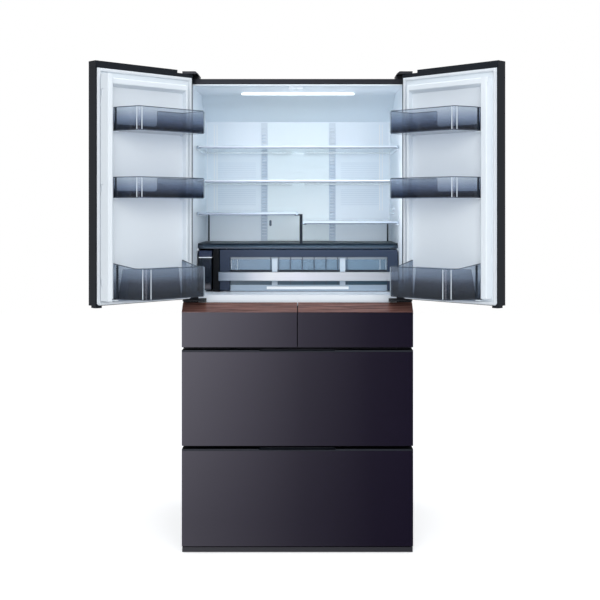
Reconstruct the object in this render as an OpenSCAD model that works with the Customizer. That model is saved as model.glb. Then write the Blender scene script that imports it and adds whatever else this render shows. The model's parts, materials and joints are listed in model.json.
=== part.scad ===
// Six-door refrigerator with its two glass doors standing open, in millimetres.
// x runs to the right, y from the front to the back and z up from the floor.
// Sizes in y are counted from the front of the closed doors, and placed() centres the whole.

/* [Cabinet] */
// Width of the cabinet
cabinet_w = 880; // [840:5:920]
// Height of the cabinet without its hinge covers
cabinet_h = 1810; // [1790:5:1850]
// Depth from the glass of the closed doors to the rear panels
cabinet_d = 738; // [720:2:780]
// Thickness of the steel sheets
skin_t = 1; // [0.6:0.2:1.6]
// Thickness of the moulded liners
liner_t = 2; // [1.5:0.5:3]
// Thickness of the folded front flanges
flange_t = 2; // [1.5:0.5:2.5]
// Width of the front flange at each side
flange_w = 19; // [16:1:22]
// Height of the front flange at the top
top_flange_h = 21; // [19:1:24]
// Thickness of the side walls of the fridge compartment
fridge_wall = 36; // [34:1:44]
// Thickness of the side walls of the freezer compartments
freezer_wall = 60; // [56:1:66]
// Thickness of the wall behind the fridge compartment
fridge_back_wall = 148; // [140:2:170]
// Thickness of the wall behind the freezer compartments
freezer_back_wall = 178; // [170:2:190]
// Thickness of the top wall
top_wall = 25; // [24:1:30]

/* [Compartments] */
// Height of the underside of the cabinet over the floor
base_z = 22; // [20:1:26]
// Thickness of the base plate
base_t = 2; // [1.5:0.5:3]
// Floor of the lower compartment
lower_floor = 84; // [78:1:90]
// Height of the lower compartment
lower_h = 297; // [290:1:310]
// Height of the middle compartment
middle_h = 336; // [330:1:350]
// Height of the ice and quick-freeze compartments
small_h = 138; // [134:1:150]
// Thickness of the middle and lower partitions
partition_t = 40; // [36:1:46]
// Thickness of the partition under the fridge compartment
upper_partition_t = 43; // [40:1:50]
// Width of the post between the two small compartments
mullion_w = 40; // [36:1:46]
// Depth of the sloping part of the ceiling of the fridge
slope_l = 190; // [150:5:230]
// How far the ceiling slopes down at the back
slope_drop = 97; // [80:1:110]
// Radius of the moulded corners at the back of the fridge
corner_r = 14; // [8:1:20]
// Distance of the ceiling light in front of the slope
light_ahead = 52; // [40:2:70]
// Length of the ceiling light
light_l = 464; // [380:4:520]
// Width of the ceiling light
light_w = 28; // [22:1:34]

/* [Machine room] */
// Depth of the machine room at the back
machine_d = 238; // [225:2:245]
// Height of the machine room roof
machine_h = 240; // [232:2:244]
// Foam left beside the machine room
machine_side = 20; // [16:1:22]
// Foam between the machine room and the lower compartment
machine_front_wall = 60; // [54:1:70]
// Foam over the machine room
machine_roof_wall = 52; // [46:1:58]
// Radius of the can of the compressor
can_r = 72; // [66:1:76]
// Radius of the opening for the condenser fan
shroud_r = 76; // [72:1:78]
// Radius of the condenser fan
condenser_fan_r = 70; // [60:1:71]
// Radius of the opening for the evaporator fan
fan_ring_r = 61; // [58:1:63]
// Radius of the evaporator fan
evaporator_fan_r = 56; // [50:1:57]

/* [Doors] */
// Thickness of a door without its seal
door_t = 45; // [43:1:50]
// Thickness of the front glass
glass_t = 4; // [3:0.5:5]
// Gap between the two doors
door_gap = 4; // [3:0.5:5]
// How far the doors rise over the cabinet
door_over = 23; // [21:1:26]
// How far the doors reach below the fridge floor
door_under = 12; // [10:1:13]
// Height of the cap along the top of a door
cap_h = 25; // [22:1:28]
// Length of the lowered door top at the hinge, from the pivot
hinge_zone = 59; // [55:1:64]
// How far the door top is lowered there
hinge_drop = 11; // [10:1:12]
// Angle at which the doors stand open
door_angle = 135; // [133:1:137]
// Distance from the cabinet side to the door pivot
pivot_in = 14; // [13:0.5:15]
// Depth of the door pivot
pivot_y = 20; // [18:0.5:22]
// Radius of the hinge pins
pin_r = 5; // [4:0.5:6]
// Clearance of a pin in its bore
pin_gap = 0.3; // [0.2:0.05:0.4]
// Length of a hinge pin in the door
pin_l = 20; // [16:1:24]
// Thickness of the door and drawer seals
seal_t = 9.5; // [8:0.5:11]
// Clearance between a seal and the cabinet
seal_gap = 0.5; // [0.4:0.1:0.8]
// Width of the door seals
seal_w = 13; // [12:1:15]

/* [Door liners] */
// Depth of the raised edges of the door liners
dyke_d = 23; // [22:1:28]
// Distance from the free edge to the raised edge of the right door
right_dyke_u = 26; // [25:1:30]
// Distance from the free edge to the raised edge of the left door, behind the flap
left_dyke_u = 34; // [33:1:38]
// Distance from the free edge to the bins
bin_u = 67; // [64:1:70]
// Distance from the free edge to the outer wall at the hinge side
hinge_dyke_u = 398; // [394:1:399]
// Thickness of the raised edge at the hinge side
hinge_dyke_t = 10; // [8:1:12]
// Height of the raised edge along the top
top_dyke_h = 24; // [20:1:30]
// Gap between the raised edges and the fridge opening, above and below
dyke_gap = 9; // [8:1:12]

/* [Door bins] */
// Depth of a bin from the liner to its front
bin_d = 130; // [120:1:131]
// Wall of a bin
bin_wall = 2.5; // [2:0.5:3]
// Clearance round a bin in its door
bin_gap = 0.3; // [0.2:0.1:0.6]
// Distance from the ceiling to the bottom of the upper bins
upper_bin_drop = 199; // [185:1:215]
// Height of the upper bins
upper_bin_h = 85; // [75:1:95]
// Place of the middle bins between the lower and the upper ones
middle_bin_share = 0.603; // [0.57:0.005:0.63]
// Height of the middle bins
middle_bin_h = 75; // [65:1:85]
// Height of the bottom of the lower bins over the floor of the fridge
lower_bin_lift = 7.5; // [7.5:0.5:12]
// Height of the front of the lower bins
lower_bin_h = 112; // [100:1:120]
// How much higher the lower bins are at the back
lower_bin_rise = 19; // [12:1:24]
// Radius of the front corner of the upper and middle bins
bin_r = 12; // [9:1:16]
// How far the free end of the upper and middle bins leans in
bin_lean = 24.5; // [20:0.5:28]
// Radius of the front corner of the lower bins
lower_bin_r = 20; // [16:1:26]
// How far the free end of the lower bins leans in
lower_bin_lean = 56; // [50:1:60]
// Size of the moulded lugs that carry a bin
lug = 4; // [3:0.1:4.2]
// Length of the low part of the back of the upper and middle bins
bin_low_l = 190; // [150:5:220]
// Height of that low part
bin_low_h = 26; // [18:1:34]
// Radius of its corners
bin_low_r = 12; // [8:1:16]

/* [Flap] */
// Thickness of the turning flap
flap_t = 18; // [16:1:18]
// Reach of the flap past its pivot
flap_l = 41; // [38:1:43]
// Distance from the free edge of the door to the flap pivot
flap_u = 17; // [16.5:0.5:18]
// Gap between the closed flap and the front plane of the cabinet
flap_gap = 2; // [2:0.5:3]
// Clearance above and below the flap
flap_end_gap = 2; // [1.5:0.5:4]
// Radius of the flap pins
flap_pin_r = 3; // [2.5:0.5:3.5]
// Height of a flap knuckle
knuckle_h = 24; // [18:1:30]

/* [Drawer fronts] */
// Gap between the two small drawer fronts
small_gap = 3.5; // [3:0.5:5]
// Gap between the lowest drawer front and the base
front_under = 4; // [3:0.5:6]
// Top of the lower drawer front over its compartment
lower_front_over = 15; // [13:0.5:17]
// Bottom of the middle drawer front below its compartment
middle_front_under = 13; // [11:0.5:14]
// Top of the middle drawer front over its compartment
middle_front_over = 15; // [13:0.5:17]
// Bottom of the small drawer fronts below their compartments
small_front_under = 14; // [12:0.5:15]
// Top of the small drawer fronts over their compartments
small_front_over = 15; // [13:0.5:15]
// Height of the sloping grip strip
grip_h = 34; // [30:1:38]
// Thickness of the grip strip
grip_t = 3; // [2.5:0.5:4]
// Height of the cap over the glass of a large front
front_cap_h = 7; // [6:0.5:9]
// Length of the finger recess in a large front
recess_l = 290; // [240:5:320]
// Depth of the finger recess
recess_d = 26; // [22:1:30]
// Width of the drawer seals
drawer_seal_w = 11; // [10:0.5:12]

/* [Drawers] */
// Wall of the drawer tubs
tub_wall = 2.5; // [2:0.5:3]
// Radius of the upright corners of the tubs
tub_r = 16; // [10:1:24]
// Room behind the small tubs
small_tub_back = 85; // [65:5:110]
// Height of the small tubs
small_tub_h = 90; // [70:1:98]
// Room between the high front part of the ice tub and the middle of the ice tray
ice_tub_clear = 95; // [90:1:110]
// Height of the ice tub under the ice maker
ice_tub_low_h = 38; // [30:1:40]
// Room behind the middle tub
middle_tub_back = 35; // [25:5:60]
// Height of the middle tub
middle_tub_h = 300; // [280:5:312]
// Height of the lower tub
lower_tub_h = 276; // [268:1:284]
// Room behind the shallow rear part of the lower tub
lower_tub_back = 27; // [20:1:45]
// Clearance between the lower tub and the step behind it
lower_tub_gap = 12; // [10:1:16]
// Clearance between a tub and the floor under it
tub_lift = 8; // [6:1:10]
// Width of a drawer rail
rail_w = 12; // [11:1:14]
// Height of a drawer rail
rail_h = 35; // [30:1:40]
// Room behind the drawer rails
rail_back = 55; // [45:5:80]
// Sheet of the rails
rail_t = 2; // [1.5:0.5:2.5]
// Clearance over and under an arm in its rail
arm_gap = 0.3; // [0.2:0.1:0.4]

/* [Chilled section] */
// Height of the cover over the fridge floor
cover_h = 192; // [190:1:198]
// Thickness of the cover
cover_t = 20; // [16:1:24]
// Depth of the front of the cover
cover_y = 225; // [220:1:230]
// Front of the chilled case
case_y = 205; // [200:1:210]
// Thickness of the case front
case_front_t = 22; // [18:1:24]
// Clearance between the case and the divider at its left
case_gap = 1; // [0.5:0.25:2]
// Clearance at the right side of the case
case_side = 5; // [4:0.5:8]
// Clearance under the case and the tank
case_lift = 6; // [5:0.5:8]
// Width of the left stile of the case front
case_stile = 40; // [34:1:46]
// Height of the case
case_h = 162; // [156:1:164]
// Upper edge of the window over the floor
window_high = 139; // [130:1:144]
// Lower edge of the handle over the floor
handle_low = 44; // [40:1:48]
// Height of the handle
handle_h = 36; // [30:1:40]
// How far the handle stands out
handle_out = 12; // [9:1:13]
// Room behind the case tub
case_tub_back = 33; // [25:1:60]
// Width of the divider between tank and case
divider_w = 27; // [22:1:28]
// Width of the water tank
tank_w = 53; // [48:1:54]
// Clearance between the water tank and the wall
tank_side = 7; // [5:0.5:9]
// Clearance between the water tank and the divider
tank_gap = 5; // [3:0.5:7]
// Room behind the water tank
tank_back = 77; // [50:1:110]
// Height of the tank body
tank_h = 132; // [120:1:136]
// Height of the tank lid
lid_h = 26; // [20:1:28]

/* [Shelves] */
// Depth of the front of the shelves
shelf_y = 180; // [178:1:200]
// Place of the upper shelf between the cover of the chilled section and the ceiling
upper_shelf_share = 0.626; // [0.6:0.005:0.65]
// Place of the middle shelf
middle_shelf_share = 0.4065; // [0.38:0.005:0.43]
// Place of the left half shelf
left_shelf_share = 0.1967; // [0.185:0.002:0.22]
// How much lower the right half shelf is
half_shelf_step = 36; // [24:1:40]
// Thickness of the shelf glass
shelf_t = 5; // [4:0.5:6]
// Height of the shelf trims
trim_h = 12; // [10:1:14]
// Depth of the front trim
trim_d = 16; // [12:1:20]
// Clearance between a shelf and the walls
shelf_gap = 3; // [2:0.5:4]
// Width of the post under the half shelves
post_w = 12; // [10:1:14]

/* [Feet and rollers] */
// Distance of the feet and rollers from the cabinet sides
foot_in = 62; // [55:1:70]
// Depth of the front feet
foot_y = 100; // [90:1:120]
// Radius of a foot
foot_r = 22; // [18:1:25]
// Distance of the rear rollers from the back
roller_back = 48; // [40:1:58]
// Radius of a roller
roller_r = 18; // [16:0.5:19]
// Width of a roller
roller_w = 20; // [16:1:24]

/* [Hidden] */
$fn = 48;
step = 0.01;
hw = cabinet_w / 2;
back_y = cabinet_d - skin_t;
front_y = door_t + seal_t + seal_gap;
fridge_x = hw - fridge_wall;
freezer_x = hw - freezer_wall;
fridge_y = cabinet_d - fridge_back_wall;
freezer_y = cabinet_d - freezer_back_wall;
ceiling_z = cabinet_h - top_wall;
slope_start = fridge_y - slope_l;
lower_top = lower_floor + lower_h;
middle_floor = lower_top + partition_t;
middle_top = middle_floor + middle_h;
small_floor = middle_top + partition_t;
small_top = small_floor + small_h;
fridge_floor = small_top + upper_partition_t;
machine_y = cabinet_d - machine_d;
step_y = machine_y - machine_front_wall;
step_z = machine_h + machine_roof_wall;
roller_y = cabinet_d - roller_back;
pad_z = base_z + base_t;

door_w = hw - door_gap / 2;
door_z = [fridge_floor - door_under, cabinet_h + door_over];
hinge_top = door_z[1] - hinge_drop;
pivot_x = hw - pivot_in;
pivot_u = pivot_x - door_gap / 2;
bore_r = pin_r + pin_gap;
dyke_z = [fridge_floor + dyke_gap + 3, ceiling_z - dyke_gap];
dyke_y = door_t + dyke_d;
upper_bin_z = ceiling_z - upper_bin_drop;
lower_bin_z = fridge_floor + lower_bin_lift;
middle_bin_z = lower_bin_z + middle_bin_share * (upper_bin_z - lower_bin_z);
bin_far_u = hinge_dyke_u - hinge_dyke_t - bin_gap;
bin_y = door_t + bin_gap;

flap_r = flap_t / 2;
flap_y = front_y + flap_gap + flap_r;
flap_far = flap_y + flap_l;
flap_z = [fridge_floor + flap_end_gap + 5, ceiling_z - flap_end_gap];
knuckle_z = [for (share = [0.08, 0.5, 0.92]) flap_z[0] + share * (flap_z[1] - flap_z[0]) - knuckle_h / 2];

// The free corner of the folded flap reaches furthest forward while the doors stand open
flap_dx = door_gap / 2 + flap_u - flap_r - pivot_x;
reach_y = pivot_y + flap_dx * sin(door_angle) + (flap_far - pivot_y) * cos(door_angle);
centre_y = (reach_y + cabinet_d) / 2;

lower_front = [base_z + front_under, lower_top + lower_front_over];
middle_front = [middle_floor - middle_front_under, middle_top + middle_front_over];
small_front = [small_floor - small_front_under, small_top + small_front_over];
small_x = [mullion_w / 2, freezer_x];
large_x = [-freezer_x, freezer_x];
arm_w = rail_w - 2;
middle_tub_d = freezer_y - middle_tub_back - door_t;
small_tub_d = freezer_y - small_tub_back - door_t;
rail_l = freezer_y - rail_back - front_y - 10;

// The ice tray turns over the shallow rear part of the ice tub
tray_y = freezer_y - 180;
tray_z = small_top - 44;
tray_x = [-freezer_x + 48, -mullion_w / 2 - 64];
ice_tub_front_d = tray_y - ice_tub_clear - door_t;

cover_z = fridge_floor + cover_h;
shelf_space = ceiling_z - cover_z;
upper_shelf_z = cover_z + upper_shelf_share * shelf_space;
middle_shelf_z = cover_z + middle_shelf_share * shelf_space;
left_shelf_z = cover_z + left_shelf_share * shelf_space;
right_shelf_z = left_shelf_z - half_shelf_step;
case_z = fridge_floor + case_lift;
tank_x = -fridge_x + tank_side;
case_left = tank_x + tank_w + tank_gap + divider_w + case_gap;
case_x = [case_left, fridge_x - case_side];
case_tub_d = fridge_y - case_tub_back - case_y - case_front_t;
tank_d = fridge_y - tank_back - case_y - 8;
post_x = 7;
roller_x = hw - foot_in + 22;
lip_w = freezer_wall - flange_w;

dark_steel = "#2c3038";
black = "#20242b";
white = "#e3e9ef";
glass_dark = "#35303f";
smoke = "#66748a";
navy = "#2b3a4c";
foam = "#e6dcae";
zinc = "#9aa1a8";
brown = "#7c5b52";

// Places and shapes that the sub-parts share

module placed() { translate([0, -centre_y, 0]) children(); }

// An interval measured from a
function from(a, interval) = [a + interval[0], a + interval[1]];

module on_side(side) { if (side < 0) mirror([1, 0, 0]) children(); else children(); }

// A door's own frame: u from its free edge towards its hinge, y and z as in the closed cabinet
module on_door(side) {
    placed() on_side(side) translate([pivot_x, pivot_y, 0]) rotate(door_angle)
        translate([-pivot_x + door_gap / 2, -pivot_y, 0]) children();
}

module span(x, y, z) { translate([x[0], y[0], z[0]]) cube([x[1] - x[0], y[1] - y[0], z[1] - z[0]]); }

module rounded_rect(x, y, r) {
    translate([x[0] + r, y[0]]) square([x[1] - x[0] - 2 * r, y[1] - y[0]]);
    translate([x[0], y[0] + r]) square([x[1] - x[0], y[1] - y[0] - 2 * r]);
    for (cx = [x[0] + r, x[1] - r], cy = [y[0] + r, y[1] - r]) translate([cx, cy]) circle(r);
}

module rounded_span(x, y, z, r) {
    translate([0, 0, z[0]]) linear_extrude(z[1] - z[0]) rounded_rect(x, y, r);
}

// Runs a (y, z) outline along x
module along_x(x) { translate([x[0], 0, 0]) rotate([90, 0, 90]) linear_extrude(x[1] - x[0]) children(); }

// Runs an (x, z) outline along y
module along_y(y) { translate([0, y[1], 0]) rotate([90, 0, 0]) linear_extrude(y[1] - y[0]) children(); }

module frame_ring(x, y, z, w, r) {
    along_y(y) difference() {
        rounded_rect(x, z, r);
        translate([x[0] + w, z[0] + w]) square([x[1] - x[0] - 2 * w, z[1] - z[0] - 2 * w]);
    }
}

function arc(c, r, start, end, n = 8) =
    [for (i = [0:n]) c + r * [cos(start + (end - start) * i / n), sin(start + (end - start) * i / n)]];

// Cabinet

module outer_case() {
    color(dark_steel) placed() difference() {
        span([-hw, hw], [front_y, back_y], [base_z, cabinet_h]);
        span([-hw + skin_t, hw - skin_t], [front_y + flange_t, cabinet_d], [0, cabinet_h - skin_t]);
        span([-hw + flange_w, hw - flange_w], [0, cabinet_d], [0, cabinet_h - top_flange_h]);
    }
}

module rear_panels() {
    slot_pitch = 50;
    margin = 90;
    slots = floor((cabinet_w - 2 * margin) / slot_pitch);
    color("#8d949c") placed() {
        span([-hw, hw], [back_y, cabinet_d], [machine_h + 1, cabinet_h]);
        difference() {
            span([-hw, hw], [back_y, cabinet_d], [base_z, machine_h]);
            for (i = [0:slots - 1], z = [90, 150])
                span(from(-hw + margin + i * slot_pitch, [0, slot_pitch - 10]), [0, cabinet_d + 1], [z, z + 40]);
        }
    }
}

module base_plate() {
    cheek_t = 2;
    color(zinc) placed() difference() {
        union() {
            span([-hw + skin_t, hw - skin_t], [front_y + flange_t, back_y], [base_z, pad_z]);
            span([-hw + flange_w, hw - flange_w], [front_y, front_y + flange_t], [base_z, lower_floor - lip_w / 2]);
            span([-hw + flange_w, hw - flange_w], [front_y, front_y + flange_t + 1], [base_z, pad_z]);
            for (side = [-1, 1]) {
                translate([side * (hw - foot_in), foot_y, base_z - 8]) cylinder(r = 11, h = 8 + step, $fn = 6);
                for (edge = [-1, 1]) on_side(side)
                    translate([roller_x + edge * (roller_w / 2 + 1 + cheek_t / 2) - cheek_t / 2,
                        roller_y - 14, roller_r - 9])
                        cube([cheek_t, 28, pad_z - roller_r + 9]);
            }
        }
        for (side = [-1, 1]) {
            translate([side * (hw - foot_in), foot_y, 0]) cylinder(r = bore_r, h = base_z);
            on_side(side) {
                span(from(roller_x, [-1, 1] * (roller_w / 2 + 1)), from(roller_y, [-1, 1] * (roller_r + 2)), [0, 60]);
                translate([roller_x - roller_w, roller_y, roller_r]) rotate([0, 90, 0])
                    cylinder(r = 4.3, h = 2 * roller_w);
            }
        }
    }
}

// The fridge compartment, grown by g: its side outline with the sloping ceiling, and rounded rear corners
module fridge_space(g) {
    intersection() {
        along_x([-fridge_x - g, fridge_x + g]) polygon([
            [front_y - 5, fridge_floor - g], [fridge_y + g, fridge_floor - g],
            [fridge_y + g, ceiling_z - slope_drop + g], [slope_start, ceiling_z + g],
            [front_y - 5, ceiling_z + g]]);
        translate([0, 0, fridge_floor - 10]) linear_extrude(ceiling_z)
            union() {
                translate([-fridge_x - g, front_y - 5])
                    square([2 * (fridge_x + g), fridge_y - front_y + 5 - corner_r]);
                rounded_rect([-fridge_x - g, fridge_x + g], [front_y + 50, fridge_y + g], corner_r + g);
            }
    }
}

// The lower compartment steps up over the machine room
module lower_outline(g) {
    polygon([[front_y - 5, lower_floor - g], [step_y + g, lower_floor - g], [step_y + g, step_z - 62 - g],
        [step_y + 60 + g, step_z - g], [freezer_y + g, step_z - g], [freezer_y + g, lower_top + g],
        [front_y - 5, lower_top + g]]);
}

module insulation_foam() {
    evaporator_room = [[-260, 260], [freezer_y, freezer_y + 90], [middle_floor + 10, middle_top]];
    color(foam) placed() difference() {
        span([-hw + skin_t, hw - skin_t], [front_y + flange_t, back_y], [pad_z, cabinet_h - skin_t]);
        fridge_space(liner_t);
        along_x([-freezer_x - liner_t, freezer_x + liner_t]) {
            lower_outline(liner_t);
            translate([0, lower_top]) square([freezer_y + liner_t, fridge_floor - liner_t - lower_top]);
        }
        along_x([-1, 1] * (hw - machine_side)) polygon([[machine_y, 0], [cabinet_d, 0], [cabinet_d, machine_h],
            [machine_y + 45, machine_h], [machine_y, machine_h - 50]]);
        span(evaporator_room[0], evaporator_room[1], evaporator_room[2]);
    }
}

module shelf_rib(z, y = [shelf_y + 25, fridge_y - 40]) {
    span([fridge_x - 8, fridge_x + step], y, [z - shelf_t / 2 - 8, z - shelf_t / 2]);
}

module fridge_liner() {
    rib_n = 9;
    color(white) placed() {
        difference() {
            union() {
                intersection() {
                    fridge_space(liner_t);
                    span([-hw, hw], [front_y, cabinet_d], [0, cabinet_h]);
                }
                span([-hw + flange_w, hw - flange_w], [front_y, front_y + flange_t],
                    [fridge_floor - liner_t, cabinet_h - top_flange_h]);
            }
            fridge_space(0);
        }
        for (z = [upper_shelf_z, middle_shelf_z], side = [-1, 1]) on_side(side) shelf_rib(z);
        on_side(-1) shelf_rib(left_shelf_z);
        shelf_rib(right_shelf_z);
        for (z = [left_shelf_z + 8, left_shelf_z + 26]) shelf_rib(z, from(fridge_y, [-160, -30]));
        // Ledges under the cover of the chilled section, and runners under the case and the tank
        for (side = [-1, 1]) on_side(side)
            span([fridge_x - 4, fridge_x + step], [cover_y + 15, fridge_y - 10],
                [cover_z - cover_t - 10, cover_z - cover_t]);
        for (runner = [[case_left + 20, case_z + 2], [case_x[1] - 20, case_z + 2], [-fridge_x + 32, case_z]])
            span(from(runner[0], [-5, 5]), [case_y + 25, fridge_y - 30],
                [fridge_floor - step, runner[1] - pin_gap]);
        // Horizontal ribs moulded in the back wall, beside the duct
        for (side = [-1, 1], i = [0:rib_n - 1], z = [middle_shelf_z + 24, left_shelf_z + 36]) on_side(side)
            span([duct_half + 23, fridge_x - 54], [fridge_y - 1.5, fridge_y + step], [z + i * 8, z + i * 8 + 3]);
        // Upright steps in the back wall, near its corners
        for (side = [-1, 1], x = [52, 40]) on_side(side)
            span(from(fridge_x - x, [0, 4]), [fridge_y - 1.5, fridge_y + step],
                [left_shelf_z + 12, ceiling_z - slope_drop - 12]);
        // Guide that turns the flap when the left door shuts
        difference() {
            span([-34, 20], from(flap_y + flap_r, [3, 23]), [ceiling_z - 12, ceiling_z + step]);
            translate([-19 + 8, flap_y + flap_r + 3, ceiling_z - 20]) cylinder(r = 9, h = 15);
        }
    }
}

// One moulded freezer compartment: walls round an open front
module liner_box(x, z) {
    difference() {
        span([x[0] - liner_t, x[1] + liner_t], [front_y, freezer_y + liner_t], [z[0] - liner_t, z[1] + liner_t]);
        span(x, [front_y - 1, freezer_y], z);
    }
}

module freezer_liners() {
    color(white) placed() {
        for (side = [-1, 1]) on_side(side) {
            liner_box(small_x, [small_floor, small_top]);
            span([freezer_x + liner_t - step, hw - flange_w], [front_y, front_y + flange_t],
                [lower_floor - lip_w / 2, fridge_floor - liner_t - step]);
        }
        liner_box(large_x, [middle_floor, middle_top]);
        difference() {
            along_x([-freezer_x - liner_t, freezer_x + liner_t]) intersection() {
                lower_outline(liner_t);
                translate([front_y, 0]) square([cabinet_d, cabinet_h]);
            }
            along_x(large_x) lower_outline(0);
        }
        span([-hw + flange_w, hw - flange_w], [front_y, front_y + flange_t],
            [lower_floor - lip_w / 2, lower_floor - liner_t + step]);
    }
}

module upper_partition() {
    color(white) placed()
        span([-freezer_x - liner_t, freezer_x + liner_t], [front_y, freezer_y + liner_t],
            [small_top + liner_t, fridge_floor - liner_t]);
}

module freezer_partitions() {
    slab_x = [-freezer_x - liner_t, freezer_x + liner_t];
    color("#c9d0d8") placed() {
        span(slab_x, [front_y, freezer_y + liner_t], [lower_top + liner_t, middle_floor - liner_t]);
        span(slab_x, [front_y, freezer_y + liner_t], [middle_top + liner_t, small_floor - liner_t]);
        span([-1, 1] * (small_x[0] - liner_t), [front_y, freezer_y + liner_t],
            [small_floor - liner_t - step, small_top + liner_t]);
    }
}

// Upper bracket with its pin, and lower plate with pin, cam and gussets
module door_hinges() {
    arm_z = hinge_top + 1;
    plate_z = small_front[1] + 7;
    color(zinc) placed() for (side = [-1, 1]) on_side(side) {
        rounded_span(from(pivot_x, [-40, 11]), [8, front_y + 7], [arm_z, arm_z + 3], 6);
        span(from(pivot_x, [-40, 11]), from(front_y, [4, 7]), [cabinet_h, arm_z + 3]);
        span(from(pivot_x, [-40, 11]), from(front_y, [4, 57]), [cabinet_h, cabinet_h + 3]);
        translate([pivot_x, pivot_y, hinge_top - pin_l + 1]) cylinder(r = pin_r, h = pin_l + step);
        rounded_span([hw - 89, hw - 2], [5, front_y], [plate_z, plate_z + 4], 5);
        span([hw - 89, hw - 2], [front_y - 3, front_y], [plate_z - 5, door_z[0] - 1]);
        translate([pivot_x, pivot_y, plate_z]) cylinder(r = pin_r, h = door_z[0] - plate_z + pin_l - 1);
        difference() {
            translate([pivot_x, pivot_y, plate_z]) cylinder(r = 11, h = door_z[0] - plate_z - 1);
            for (a = [0:60:300]) translate([pivot_x, pivot_y, plate_z + 6]) rotate(a)
                translate([6, -2, 0]) cube([8, 4, 5]);
        }
        for (x = [0:11:66]) translate([hw - 85 + x, 0, 0])
            along_x([0, 3]) polygon([[14, plate_z], [front_y - 2, plate_z], [front_y - 2, plate_z - 5]]);
    }
}

module hinge_covers() {
    wall = 2;
    cover = from(pivot_x, [-47, 12]);
    color(black) placed() for (side = [-1, 1]) on_side(side) difference() {
        along_y([2, front_y + 66]) polygon([[cover[0], cabinet_h], [cover[1], cabinet_h],
            [cover[1], door_z[1]], [cover[0] + 10, door_z[1]], [cover[0], door_z[1] - 8]]);
        span(cover + [-1, 1], [0, front_y + 2], [cabinet_h - 1, hinge_top + 1]);
        span([cover[0] + 5, cover[1] - wall + 1], [2 + wall, front_y + 64], [cabinet_h - 1, door_z[1] - wall]);
    }
}

module kick_plate() {
    color(black) placed() difference() {
        span([-hw + 1, hw - 1], [4, foot_y - foot_r - 4], [3, base_z]);
        span([-hw + 4, hw - 4], [7, cabinet_d], [0, base_z - 3]);
    }
}

module front_feet() {
    color(black) placed() for (side = [-1, 1]) translate([side * (hw - foot_in), foot_y, 0]) {
        rotate_extrude() polygon([[0, 0], [foot_r, 0], [foot_r, 4], [foot_r - 4, 8], [0, 8]]);
        cylinder(r = pin_r, h = base_z - 0.3);
    }
}

module rear_roller(side) {
    color("#3a3d42") placed() translate([side * roller_x, roller_y, roller_r]) rotate([0, 90, 0]) {
        difference() {
            cylinder(r = roller_r, h = roller_w, center = true);
            for (end = [-1, 1]) translate([0, 0, end * roller_w / 2]) difference() {
                cylinder(r = roller_r - 4, h = 6, center = true);
                cylinder(r = 8, h = 7, center = true);
            }
        }
        cylinder(r = 4, h = roller_w + 8, center = true);
    }
}
module rear_roller_left() { rear_roller(-1); }
module rear_roller_right() { rear_roller(1); }

module ceiling_light() {
    y = from(slope_start - light_ahead, [-light_w, 0]);
    color("white") placed()
        rounded_span([-0.5, 0.5] * light_l, y, [ceiling_z - 6, ceiling_z], light_w / 2 - 1);
}

// Air duct cover with a column of louvres at each side of its raised middle
duct_half = 162;

module duct_panel() {
    half = duct_half;
    louvre_pitch = 13;
    top = ceiling_z - slope_drop - 4;
    bottom = cover_z + 2;
    louvre_n = floor((top - bottom - 30) / louvre_pitch);
    color("#d5e3ee") placed() difference() {
        span([-half, half], [fridge_y - 8, fridge_y], [bottom, top]);
        for (side = [-1, 1]) on_side(side) {
            span([half - 28, half + 1], [0, fridge_y - 5], [bottom - 1, top + 1]);
            for (i = [0:louvre_n - 1])
                along_x([half - 24, half - 4]) polygon([
                    [fridge_y - 6, bottom + 16 + i * louvre_pitch], [fridge_y + 1, bottom + 20 + i * louvre_pitch],
                    [fridge_y + 1, bottom + 26 + i * louvre_pitch], [fridge_y - 6, bottom + 22 + i * louvre_pitch]]);
        }
        along_y([fridge_y - 9, fridge_y - 3]) {
            rounded_rect([-23, 23], from(middle_shelf_z + 44, [-6, 6]), 5.9);
            rounded_rect(from(-half + 41, [-5, 5]), from(left_shelf_z - 43, [-13, 13]), 4.9);
        }
    }
}

module shelf(x, z) {
    color("#cfe3ea") placed() difference() {
        union() {
            span(x, [shelf_y + 4, fridge_y - 16], from(z, [-0.5, 0.5] * shelf_t));
            along_x(x) rounded_rect([shelf_y, shelf_y + trim_d], from(z, [-0.5, 0.5] * trim_h), 3);
            span(x, [fridge_y - 28, fridge_y - 14], from(z, [-0.5, 0.5] * trim_h));
        }
        translate([0, fridge_y - 14, z - trim_h]) scale([1, 0.4, 1]) cylinder(r = 26, h = 2 * trim_h);
    }
}
module shelf_upper() { shelf([-1, 1] * (fridge_x - shelf_gap), upper_shelf_z); }
module shelf_middle() { shelf([-1, 1] * (fridge_x - shelf_gap), middle_shelf_z); }
module shelf_lower_left() { shelf([-fridge_x + shelf_gap, 0], left_shelf_z); }
module shelf_lower_right() { shelf([post_x + post_w, fridge_x - shelf_gap], right_shelf_z); }

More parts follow.
